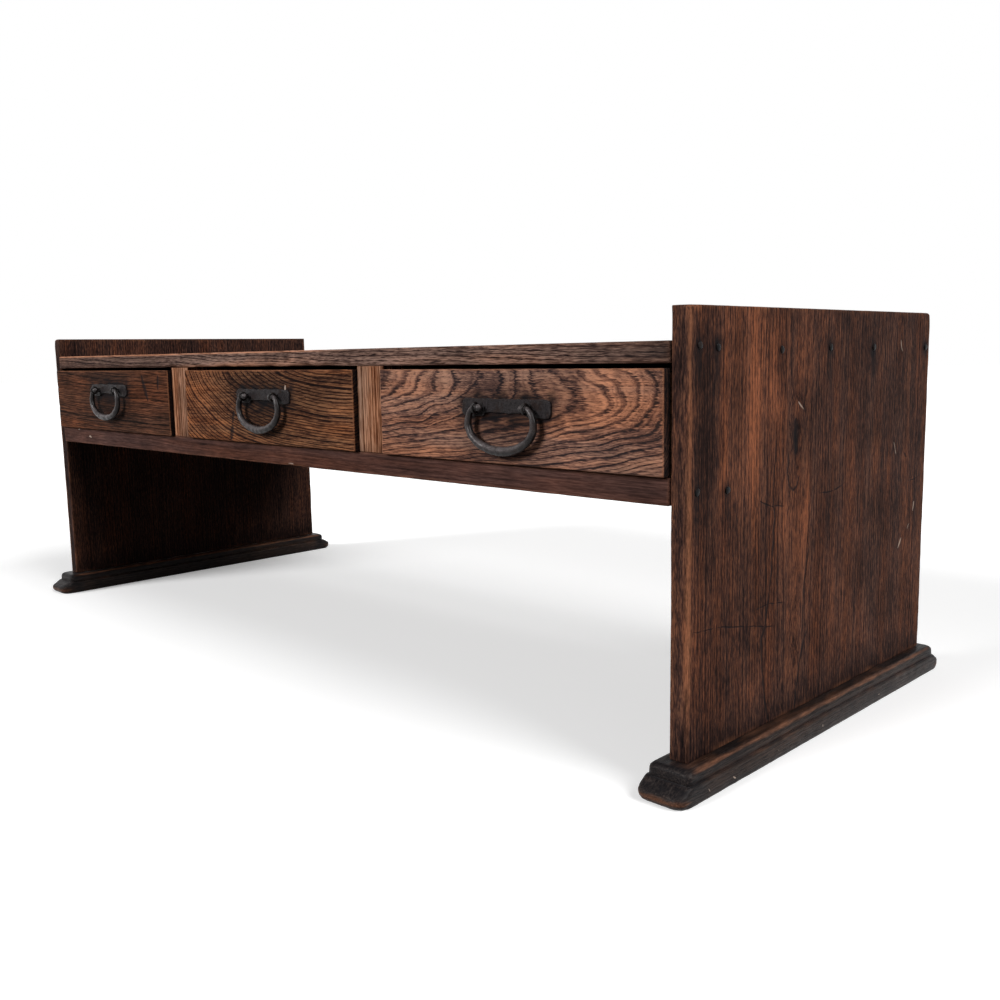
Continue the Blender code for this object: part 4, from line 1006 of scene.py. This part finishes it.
class TABLE_OT_top_board(TableOperator, bpy.types.Operator):
    """The top board, with a chewed lower front arris"""

    bl_idname = "writing_table.top_board"
    bl_label = "Top Board"

    # Where along the board the lower arris is chewed
    chewed_from, chewed_to = -0.20, 0.11

    def build(self, colours, sizes):
        low, high = between_panels("top_board")
        chance = np.random.default_rng(5)

        def bites_along(height, start, end, count, reach, depth):
            """Bites of random reach and depth at random places along a front arris."""
            return [((x, low[1], height), chance.uniform(*reach), chance.uniform(*depth))
                    for x in chance.uniform(start, end, count)]

        bites = bites_along(low[2], self.chewed_from, self.chewed_to, 26, (0.005, 0.014), (0.0006, 0.0022))
        bites += bites_along(high[2], low[0], high[0], 30, (0.006, 0.020), (0.0003, 0.0010))
        points, quads, arris = worn_box(low, high, sizes.board_ease, pitch=0.005, seed=51,
                                        unevenness=sizes.unevenness, bites=bites)
        x, y, z = points.T
        front = part_way(y, low[1] + 0.012, low[1] + 0.002)
        chewed = np.exp(-((x + 0.03) / 0.13) ** 4) * part_way(z, low[2] + 0.010, low[2] + 0.006)
        upper = part_way(z, high[2] - 0.0022, high[2] - 0.0010)
        rub = np.clip(0.15 + front * (0.8 * chewed + 0.6 * upper * (x < 0.1)), 0, 1)
        stain = 0.55 * front * part_way(x, 0.40, 0.45)
        stain = np.clip(stain * (0.8 + 0.2 * waves(points, 0.03, 53)), 0, 0.8)
        tone = 1 + front * (0.16 * np.clip(x / 0.2, -1, 1) - 0.03 + 0.35 * chewed)
        tone += 0.7 * front * upper * part_way(x, 0.15, 0.05)
        frayed = front * np.clip((x + 0.28) / 0.15, 0.2, 1)
        grain = Grain("x", "y", heart=0.03, depth=-0.05, ring=0.0034, lean=0.03, swirl=0.010, ripple=0.0014,
                      contrast=0.5, figure=0.45, streaks=0.3, speckle=0.9, fine=(90, 1150), seed=11)
        material = wood("top_elm", grain, colours, "top", sizes.board_rub * 1.6, TOP_MARKS)
        add_piece("top_plank", points, quads, material, "carcass", ["top_board"], "top_elm",
                  arris=arris, rub=rub, stain=stain, tone=tone, frayed=frayed)


class TABLE_OT_front_rail(TableOperator, bpy.types.Operator):
    """The plain front rail under the drawers"""

    bl_idname = "writing_table.front_rail"
    bl_label = "Front Rail"

    def build(self, colours, sizes):
        low, high = between_panels("front_rail")
        bites = [((x, low[1], low[2]), reach, depth) for x, reach, depth in RAIL_BITES]
        points, quads, arris = worn_box(low, high, sizes.board_ease, pitch=0.004, seed=61,
                                        unevenness=sizes.unevenness, bites=bites)
        rub = np.full(len(points), 0.22)
        for place, reach, _ in bites:
            rub += 0.9 * soft_spot(points, place, (reach, 0.006, 0.005))
        grain = Grain("x", "z", heart=0.32, depth=low[1] + 0.06, ring=0.0034, lean=0.03, swirl=0.010,
                      ripple=0.0010, contrast=0.2, figure=0.3, streaks=0.4, speckle=1.0, fine=(75, 800),
                      seed=13)
        material = wood("rail_elm", grain, colours, "rail", sizes.board_rub, pale_marks=RAIL_CHIPS)
        add_piece("front_rail_board", points, quads, material, "carcass", ["front_rail"], "rail_elm",
                  arris=arris, rub=np.clip(rub, 0, 1), stain=0.0, tone=1.0)


class TABLE_OT_posts(TableOperator, bpy.types.Operator):
    """Pale, straight-grained posts between the drawers"""

    bl_idname = "writing_table.posts"
    bl_label = "Posts"

    def build(self, colours, sizes):
        for seed, side in enumerate(SIDES):
            low, high = corners(side + "_post")
            low[2] = corners("front_rail")[1][2] + SEAT
            high[2] = corners("top_board")[0][2] - SEAT
            points, quads, arris = worn_box(low, high, sizes.post_ease, pitch=0.003, seed=71 + seed,
                                            unevenness=sizes.unevenness)
            near_rail = part_way(points[:, 2], low[2] + 0.012, low[2])
            stain = np.clip(near_rail * (0.25 + 0.12 * waves(points, 0.02, 73 + seed)), 0, 1)
            grain = Grain("z", "x", heart=low[0] - 0.16, depth=low[1] + 0.05, ring=0.0036, swirl=0.003,
                          ripple=0.0006, contrast=0.60, figure=0.4, streaks=0.6, speckle=1.8, fine=(60, 800),
                          seed=17 + seed)
            material = wood(side + "_post_elm", grain, colours, "post", sizes.post_rub, roughness=0.5)
            add_piece(side + "_post_board", points, quads, material, "carcass", [side + "_post"], "post_elm",
                      arris=arris, rub=0.3, stain=stain, tone=1.0)


# How deep a drawer front's arrises are nibbled, and how far in
NIBBLE_DEPTH = 0.0004
NIBBLE_REACH = 0.0016


def lapped_front(low, high, lap_y, inner_half, ease, seed, unevenness):
    """A drawer front as rings up its height. Each ring runs round the front's plan: a long face, rounded
    front corners, laps and a narrower back. Rings near the top and bottom are drawn in along a quarter
    circle. Smooth noise sinks the face and nibbles its arrises. Gives the points, the faces and each point's
    distance from the nearest front arris."""
    middle = (low[0] + high[0]) / 2
    half = (high[0] - low[0]) / 2
    turn = np.linspace(0, RIGHT_ANGLE, 6)
    run = np.linspace(-half + ease, half - ease, 110)
    corner = np.column_stack((half - ease + ease * np.sin(turn), low[1] + ease - ease * np.cos(turn)))
    back = low[1] + ease
    right = np.concatenate((corner[1:], [(half, back + 0.0005), (half, back + 0.001), (half, lap_y),
                                         (inner_half, lap_y), (inner_half, high[1])]))
    left = right[::-1] * (-1, 1)
    plan = np.concatenate((np.column_stack((run, np.full(len(run), low[1]))), right, left))
    inward = np.column_stack((-np.sign(plan[:, 0]) * (np.abs(plan[:, 0]) > inner_half - 0.001),
                              np.where(plan[:, 1] < back, 1.0, 0.0)))
    draw = ease * (1 - np.sin(turn))
    climb = ease * (1 - np.cos(turn))
    body = np.linspace(low[2] + ease * 1.8, high[2] - ease * 1.8, 26)
    heights = np.concatenate((low[2] + climb, body, (high[2] - climb)[::-1]))
    insets = np.concatenate((draw, np.zeros(len(body)), draw[::-1]))
    flat = plan[None] + inward[None] * insets[:, None, None] + (middle, 0)
    upright = np.broadcast_to(heights[:, None, None], (len(heights), len(plan), 1))
    points, faces = closed_stack(np.concatenate((flat, upright), -1))
    gap_x = half - np.abs(points[:, 0] - middle)
    gap_y = points[:, 1] - low[1]
    gap_z = np.minimum(points[:, 2] - low[2], high[2] - points[:, 2])
    gaps = np.sort(np.column_stack((gap_x, gap_y, gap_z)), axis=1)[:, 1]
    planed = unevenness * (1 + 0.5 * waves(points, 0.07, seed))
    nibbles = np.clip(waves(points, 0.013, seed + 1) - 0.6, 0, 2)
    nibbled = NIBBLE_DEPTH * nibbles * np.exp(-gaps / NIBBLE_REACH)
    points[:, 1] += (planed + nibbled) * (gap_y < ease)
    return points, faces, gaps


class TABLE_OT_drawer_fronts(TableOperator, bpy.types.Operator):
    """Drawer fronts, each with its own figure"""

    bl_idname = "writing_table.drawer_fronts"
    bl_label = "Drawer Fronts"

    # Reach of the shadow painted on the wood behind a bail
    bail_shadow = (0.045, 0.02, 0.026)

    def build(self, colours, sizes):
        for seed, drawer in enumerate(DRAWERS):
            low, high = corners(drawer + "_front")
            side_low = corners(drawer + "_right_side")[0]
            inner_half = side_low[0] - (low[0] + high[0]) / 2 - SEAT
            points, faces, arris = lapped_front(low, high, side_low[1] - SEAT, inner_half, sizes.drawer_ease,
                                                seed=81 + 5 * seed, unevenness=sizes.unevenness)
            x, y, z = points.T
            face_end = low[1] + sizes.drawer_ease * 0.8
            returns = part_way(y, face_end, face_end + 0.0006)
            plate_low, plate_high = corners(drawer + "_handle_plate")
            off_plate = np.maximum(np.maximum(plate_low - points, points - plate_high), 0)[:, [0, 2]]
            near_plate = np.exp(-(np.linalg.norm(off_plate, axis=1) / 0.006) ** 1.3)
            stain = 0.8 * near_plate * (1 + 0.3 * waves(points, 0.015, 83 + seed))
            # Painted shadow of the bail on the wood behind it
            stain += 0.30 * soft_spot(points, sum(corners(drawer + "_bail")) / 2, self.bail_shadow)
            # Near black on the returns: painted shade in the gap beside the panel, and dirt on them
            stain = np.clip(np.maximum(stain, 0.85 * returns), 0, 0.92)
            right_edge = part_way(x, high[0] - 0.004, high[0] - 0.001)
            upper_edge = part_way(z, high[2] - 0.004, high[2] - 0.001)
            rub = 0.15 + 0.65 * np.maximum(right_edge, upper_edge) + 0.15 * waves(points, 0.03, 85 + seed)
            tone = np.ones(len(points))
            for spot_x, spot_z, reach_x, reach_z, gain in DRAWER_TONES[drawer]:
                tone += gain * soft_spot(points, (spot_x, low[1], spot_z), (reach_x, TONE_DEPTH, reach_z))
            material = wood(drawer + "_elm", drawer_grain(drawer, low, high), colours, drawer,
                            sizes.board_rub * 0.6, DRAWER_MARKS[drawer], DRAWER_CHIPS[drawer])
            add_piece(drawer + "_face", points, faces, material, drawer, [drawer + "_front"], "drawer_elm",
                      arris=arris, rub=np.clip(rub * (1 - returns), 0, 1), stain=stain, tone=tone)


class TABLE_OT_inner_wood(TableOperator, bpy.types.Operator):
    """The back board and the bare inner wood of the case and drawers"""

    bl_idname = "writing_table.inner_wood"
    bl_label = "Inner Wood"

    lengthways_boards = ("_back", "_bottom")
    endways_boards = ("_side", "_runner", "_partition")

    def build(self, colours, sizes):
        low, high = between_panels("back_board")
        points, quads, arris = worn_box(low, high, sizes.back_ease, pitch=0.005, seed=91,
                                        unevenness=sizes.unevenness)
        grain = Grain("x", "z", heart=0.262, depth=high[1] - 0.05, ring=0.0042, lean=0.05, swirl=0.012,
                      ripple=0.0020, contrast=0.45, seed=23)
        material = wood("back_softwood", grain, colours, "inner", sizes.back_rub, roughness=0.6)
        add_piece("back_plank", points, quads, material, "carcass", ["back_board"], "inner_softwood",
                  arris=arris, rub=0.25, stain=0.0, tone=1.0)
        bottom_grain = Grain("x", "y", heart=0.4, depth=0.18, ring=0.0040, contrast=0.55, seed=29)
        side_grain = Grain("y", "z", heart=0.10, depth=0.9, ring=0.0038, contrast=0.55, seed=31)
        lengthways = wood("bottom_softwood", bottom_grain, colours, "inner", roughness=0.62, reads_attributes=False)
        endways = wood("side_softwood", side_grain, colours, "inner", roughness=0.62, reads_attributes=False)
        for name, node in frame["nodes"].items():
            if node.hide_render or not name.endswith(self.lengthways_boards + self.endways_boards):
                continue
            for place in node.material_slots:
                place.material = lengthways if name.endswith(self.lengthways_boards) else endways


class TABLE_OT_nails(TableOperator, bpy.types.Operator):
    """Hand-made nails with hammered heads"""

    bl_idname = "writing_table.nails"
    bl_label = "Nails"

    def build(self, colours, sizes):
        """Each nail is a profile of radius and height, a low dome on a shank, carried round its axis. Two
        slow waves round the axis make its head lumpy."""
        material = iron("nail_iron", colours, 3, "nail", "nail", 0.06)
        turn = np.linspace(0.06, 1.0, 8) * RIGHT_ANGLE
        radius = np.concatenate((sizes.nail_head * np.sin(turn),
                                 [sizes.nail_head * 0.98, sizes.nail_shank, sizes.nail_shank]))
        proud = np.concatenate((sizes.nail_height * np.cos(turn) ** 0.8 + SEAT,
                                [0.0, 0.0, -sizes.nail_depth]))
        spin = np.linspace(0, math.tau, 18, endpoint=False)
        for side, sign in SIDES.items():
            for seed, nail in enumerate(nail_nodes(side)):
                middle = sum(corners(nail)) / 2
                lumps = 1 + 0.07 * np.sin(2 * spin + seed) + 0.05 * np.sin(3 * spin + 2 * seed)
                across = radius[:, None] * lumps
                outwards = np.broadcast_to(outer_face(side) + sign * proud[:, None], across.shape)
                rings = np.stack((outwards, middle[1] + across * np.cos(spin),
                                  middle[2] + across * np.sin(spin)), -1)
                points, faces = closed_stack(rings[:, ::-1] if sign > 0 else rings)
                add_piece(nail + "_head", points, faces, material, "carcass", [nail], "wrought_iron")


class TABLE_OT_handles(TableOperator, bpy.types.Operator):
    """Iron handles: lobed plates, ring-headed split pins and bails with beaded ends"""

    bl_idname = "writing_table.handles"
    bl_label = "Handles"

    # How far noise moves the plate's outline and face, and the width of the blend into its waist
    plate_wander = 0.00022
    plate_hammer = 0.00010
    waist_blend = 0.004
    eye_sides = 12

    # How full the bail's arms are, how it swells and is hammered, and on which side a highlight is painted
    bail_sides = 24
    arm_share = 1.28
    swell_power = 0.6
    bail_hammer = 0.035
    thumb_side = (0.0, -0.75, 0.66)
    polish_power = 2.2
    bead_tip = math.radians(8)

    def build(self, colours, sizes):
        plate_iron = iron("plate_iron", colours, 5)
        eye_iron = iron("eye_iron", colours, 7, "bail", specular=0.16)
        bail_iron = iron("bail_iron", colours, 9, "bail", specular=0.16, reads_attributes=True)
        hinges = [joint for joint in frame["joints"] if joint["type"] == "hinge"]
        pivots = {joint["parent"]: np.array(joint["pos_m"]) for joint in hinges}
        for seed, drawer in enumerate(DRAWERS):
            pivot = pivots[drawer]
            self.plate(drawer, pivot, plate_iron, sizes, seed)
            for side in SIDES:
                self.eye(drawer, side, pivot, eye_iron, sizes)
            self.bail(drawer, pivot, bail_iron, sizes, seed)

    def plate(self, drawer, pivot, material, sizes, seed):
        """The plate is a grid between its lower and upper edge: round corners at the ends, and a waist that
        rises between the lobes. Its face falls away along a quarter circle at the rim, and smooth noise
        wanders its outline and hammers its face."""
        low, high = corners(drawer + "_handle_plate")
        half, top = (high[0] - low[0]) / 2, (high[2] - low[2]) / 2
        lobe = half - sizes.lobe_length
        turn = np.linspace(0, RIGHT_ANGLE, 11)
        ends = half - sizes.plate_corner * (1 - np.sin(turn))
        inner = np.linspace(0, half - sizes.plate_corner, 60)[:-1]
        steps = lobe + 0.6 * self.waist_blend * np.linspace(-1, 1, 13)
        right = np.unique(np.concatenate((inner, steps, ends)))
        line = np.concatenate((-right[:0:-1], right))
        into_corner = np.clip(np.abs(line) - half + sizes.plate_corner, 0, sizes.plate_corner)
        fall = sizes.plate_corner - np.sqrt(sizes.plate_corner ** 2 - into_corner ** 2)
        share = part_way(np.abs(line) - lobe, -self.waist_blend / 2, self.waist_blend / 2)
        waist = sizes.waist_rise * (1 - share ** 2 * (3 - 2 * share))
        near = np.array([0.0, 0.008, 0.025, 0.055, 0.10, 0.18, 0.28, 0.40])
        rows = np.concatenate((near, [0.5], 1 - near[::-1]))
        bottom, ceiling = fall + waist - top, top - fall
        x = np.broadcast_to(line[:, None], (len(line), len(rows)))
        z = bottom[:, None] + (ceiling - bottom)[:, None] * rows
        spots = np.stack((x, z), -1)
        rim = np.concatenate((spots[:, 0], spots[:, -1], spots[0], spots[-1]))
        gap = np.sqrt(((spots[:, :, None] - rim) ** 2).sum(-1)).min(-1)
        fade = 1 - np.clip(gap / sizes.plate_bevel, 0, 1)
        depth = sizes.plate_bevel * (1 - np.sqrt(1 - fade ** 2))
        flat = np.stack((x + pivot[0], np.zeros_like(x), z + pivot[2]), -1)
        sideways = waves(flat.reshape(-1, 3), 0.011, 105 + seed).reshape(x.shape)
        upwards = waves(flat.reshape(-1, 3), 0.012, 101 + seed).reshape(x.shape)
        flat[..., 0] += self.plate_wander * sideways
        flat[..., 2] += self.plate_wander * upwards
        front, back = flat.copy(), flat.copy()
        front[..., 1] = low[1] + depth + self.plate_hammer * (1 - fade) * sideways
        back[..., 1] = high[1]
        points, faces = slab(front, back)
        add_piece(drawer + "_lobed_plate", points, faces, material, drawer, [drawer + "_handle_plate"],
                  "wrought_iron")

    def eye(self, drawer, side, pivot, material, sizes):
        """A wire ring about the bail's end, with two strands that run back through the plate and front and
        are bent apart behind it."""
        node = drawer + "_" + side + "_eye"
        low, high = corners(node)
        centre = (low[0] + high[0]) / 2
        ring = pivot[1] - low[1] - sizes.wire
        strand = sizes.wire + SEAT / 2
        back = high[1] - sizes.wire - pivot[1]
        opening = math.asin(strand / ring)
        turn = np.linspace(opening, math.tau - opening, 40)
        bend = 2 * sizes.wire
        knee = np.linspace(0, -RIGHT_ANGLE, 7)
        leg = np.column_stack((back - bend + bend * np.cos(knee), strand + bend + bend * np.sin(knee)))
        upper = np.concatenate(([(back, high[2] - pivot[2])], leg,
                                [(ring + 0.004, strand), (ring + 0.001, strand)]))
        loop = ring * np.column_stack((np.cos(turn), np.sin(turn)))
        path = np.concatenate((upper, loop, upper[::-1] * (1, -1)))
        path = np.column_stack((np.full(len(path), centre), path + pivot[1:]))
        points, faces = tube(path, np.full(len(path), sizes.wire), self.eye_sides, (1, 0, 0))
        add_piece(node + "_pin", points, faces, material, drawer, [node], "wrought_iron")

    def bail(self, drawer, pivot, material, sizes, seed):
        """A rod from bead to bead: elliptical shoulders run out of the eyes into a wide elliptical bow, and
        the radius swells towards the middle. The beads are stretched circles. A highlight is painted along
        the side of the rod that faces up and to the front."""
        low, high = corners(drawer + "_bail")
        eyes = [sum(corners(drawer + "_" + side + "_eye"))[0] / 2 for side in SIDES]
        half_eye = (eyes[1] - eyes[0]) / 2
        drop = pivot[2] - low[2] - sizes.bail_middle
        shoulder_turn = np.linspace(RIGHT_ANGLE, 0, 22)
        bow_turn = np.linspace(0, -RIGHT_ANGLE, 46)[1:]
        half_bow = (high[0] - low[0]) / 2 - sizes.bail_end * self.arm_share
        shoulder = np.column_stack((half_eye + (half_bow - half_eye) * np.cos(shoulder_turn),
                                    sizes.shoulder_drop * (np.sin(shoulder_turn) - 1)))
        bow = np.column_stack((half_bow * np.cos(bow_turn),
                               (drop - sizes.shoulder_drop) * np.sin(bow_turn) - sizes.shoulder_drop))
        rod = np.concatenate((shoulder, bow))
        run = np.concatenate(([0], np.cumsum(np.linalg.norm(np.diff(rod, axis=0), axis=1))))
        swell = (run / run[-1]) ** self.swell_power
        rod_radius = sizes.bail_end + (sizes.bail_middle - sizes.bail_end) * swell
        neck = math.pi - math.asin(sizes.bail_end / sizes.bail_bead)
        bead_turn = np.linspace(self.bead_tip, neck, 14)
        neck_x = half_eye - sizes.wire - 2 * SEAT
        reach = (np.cos(bead_turn) - math.cos(neck)) / (math.cos(self.bead_tip) - math.cos(neck))
        bead = np.column_stack((neck_x - sizes.bead_length * reach, np.zeros(len(bead_turn))))
        half = np.concatenate((bead, rod))
        half_radius = np.concatenate((sizes.bail_bead * np.sin(bead_turn), rod_radius))
        flat = np.concatenate((half, half[-2::-1] * (-1, 1)))
        radii = np.concatenate((half_radius, half_radius[-2::-1]))
        path = np.column_stack((flat[:, 0] + pivot[0], np.full(len(flat), pivot[1]), flat[:, 1] + pivot[2]))
        points, faces = tube(path, radii, self.bail_sides, (0, 1, 0))
        centre = np.repeat(path, self.bail_sides, axis=0)
        out = (points - centre) / np.repeat(radii, self.bail_sides)[:, None]
        # Painted highlight on the side of the rod that faces up and to the front
        rub = part_way(out @ self.thumb_side, 0.40, 0.90) ** self.polish_power
        hammered = 1 + self.bail_hammer * waves(points, 0.008, 111 + seed)
        points = centre + (points - centre) * hammered[:, None]
        add_piece(drawer + "_bail_rod", points, faces, material, drawer.replace("drawer", "bail"),
                  [drawer + "_bail"], "wrought_iron", rub=rub)


class TABLE_OT_studio(bpy.types.Operator):
    """A pale floor, soft light and the camera"""

    bl_idname = "writing_table.studio"
    bl_label = "Studio"
    bl_options = {"REGISTER", "UNDO"}

    # The floor's size, and its colour as seen and in the light that it throws back
    floor_reach = 15.0
    floor_lines = 7
    floor_level = -0.0002
    floor_seen = (0.92, 0.92, 0.92)
    floor_thrown = (0.10, 0.095, 0.09)
    floor_glow = 0.28

    def execute(self, context):
        studio = context.scene.table_studio
        self.floor()
        self.lamp("key_light", studio.key, towards=(-0.25, -0.86, 0.44), softness=22)
        self.lamp("fill_light", studio.fill, towards=(0.80, 0.10, 0.60), softness=40)
        self.world(context.scene, studio.ambient)
        self.camera(context.scene, studio)
        context.scene.view_settings.view_transform = "Standard"
        return {"FINISHED"}

    def floor(self):
        """A flat square grid, white to the camera and grey to the light that it throws back."""
        line = np.linspace(-self.floor_reach, self.floor_reach, self.floor_lines)
        x, y = np.meshgrid(line, line, indexing="ij")
        points = np.stack((x, y, np.full_like(x, self.floor_level)), -1).reshape(-1, 3)
        quads = patch_quads(np.arange(x.size).reshape(x.shape))
        mesh = bpy.data.meshes.new("floor")
        mesh.from_pydata(points.tolist(), [], quads.tolist())
        shader = Shader("pale_floor")
        seen = shader.seen_rays()
        sockets = {"Base Color": shader.mix(seen, self.floor_thrown, self.floor_seen), "Roughness": 0.9,
                   "Specular IOR Level": 0.0, "Emission Color": WHITE,
                   "Emission Strength": shader.math("MULTIPLY", seen, self.floor_glow)}
        for key, value in sockets.items():
            shader.feed(shader.surface.inputs[key], value)
        mesh.materials.append(shader.material)
        floor = bpy.data.objects.new("floor", mesh)
        bpy.context.scene.collection.objects.link(floor)

    def lamp(self, name, energy, towards, softness):
        """A sun that shines from a direction, as wide as softness degrees."""
        data = bpy.data.lights.new(name, "SUN")
        data.energy = energy
        data.angle = math.radians(softness)
        lamp = bpy.data.objects.new(name, data)
        lamp.rotation_mode = "QUATERNION"
        lamp.rotation_quaternion = Vector(towards).to_track_quat("Z", "Y")
        bpy.context.scene.collection.objects.link(lamp)

    def world(self, scene, ambient):
        """White to the camera and to reflections, and a low even light for everything else."""
        world = bpy.data.worlds.new("studio")
        world.use_nodes = True
        scene.world = world
        wiring = Wiring(world.node_tree)
        level = wiring.node("MapRange", {"Value": wiring.seen_rays(), "To Min": ambient, "To Max": 1.0})
        background = world.node_tree.nodes["Background"]
        wiring.feed(background.inputs["Color"], WHITE)
        wiring.feed(background.inputs["Strength"], level.outputs[0])

    def camera(self, scene, studio):
        """Looks along its heading and pitch, and is rolled about that line."""
        turn, dip, roll = studio.heading, studio.pitch, studio.roll
        ahead = Vector((-math.sin(turn) * math.cos(dip), math.cos(turn) * math.cos(dip), -math.sin(dip)))
        level = ahead.cross(Vector((0, 0, 1))).normalized()
        upright = level.cross(ahead)
        right = math.cos(roll) * level + math.sin(roll) * upright
        up = math.cos(roll) * upright - math.sin(roll) * level
        data = bpy.data.cameras.new("camera")
        data.lens = studio.lens
        data.sensor_width = 36.0
        data.clip_start = 0.01
        camera = bpy.data.objects.new("camera", data)
        camera.matrix_world = Matrix((right, up, -ahead)).transposed().to_4x4()
        camera.location = studio.eye
        scene.collection.objects.link(camera)
        scene.camera = camera


class TABLE_PT_panel(bpy.types.Panel):
    """Lists the steps that build the table"""

    bl_label = "Writing Table"
    bl_space_type = "VIEW_3D"
    bl_region_type = "UI"
    bl_category = "Writing Table"

    def draw(self, context):
        for step in STEPS:
            self.layout.operator(step.bl_idname)


STEPS = (TABLE_OT_side_panels, TABLE_OT_feet, TABLE_OT_top_board, TABLE_OT_front_rail, TABLE_OT_posts,
         TABLE_OT_drawer_fronts, TABLE_OT_inner_wood, TABLE_OT_nails, TABLE_OT_handles, TABLE_OT_studio)
CLASSES = (TableColours, TableSizes, StudioSettings, *STEPS, TABLE_PT_panel)


def register():
    for item in CLASSES:
        bpy.utils.register_class(item)
    bpy.types.Scene.table_colours = PointerProperty(type=TableColours)
    bpy.types.Scene.table_sizes = PointerProperty(type=TableSizes)
    bpy.types.Scene.table_studio = PointerProperty(type=StudioSettings)


def unregister():
    del bpy.types.Scene.table_studio
    del bpy.types.Scene.table_sizes
    del bpy.types.Scene.table_colours
    for item in reversed(CLASSES):
        bpy.utils.unregister_class(item)


def main():
    register()
    for step in STEPS:
        area, name = step.bl_idname.split(".")
        getattr(getattr(bpy.ops, area), name)()


if __name__ == "__main__":
    main()
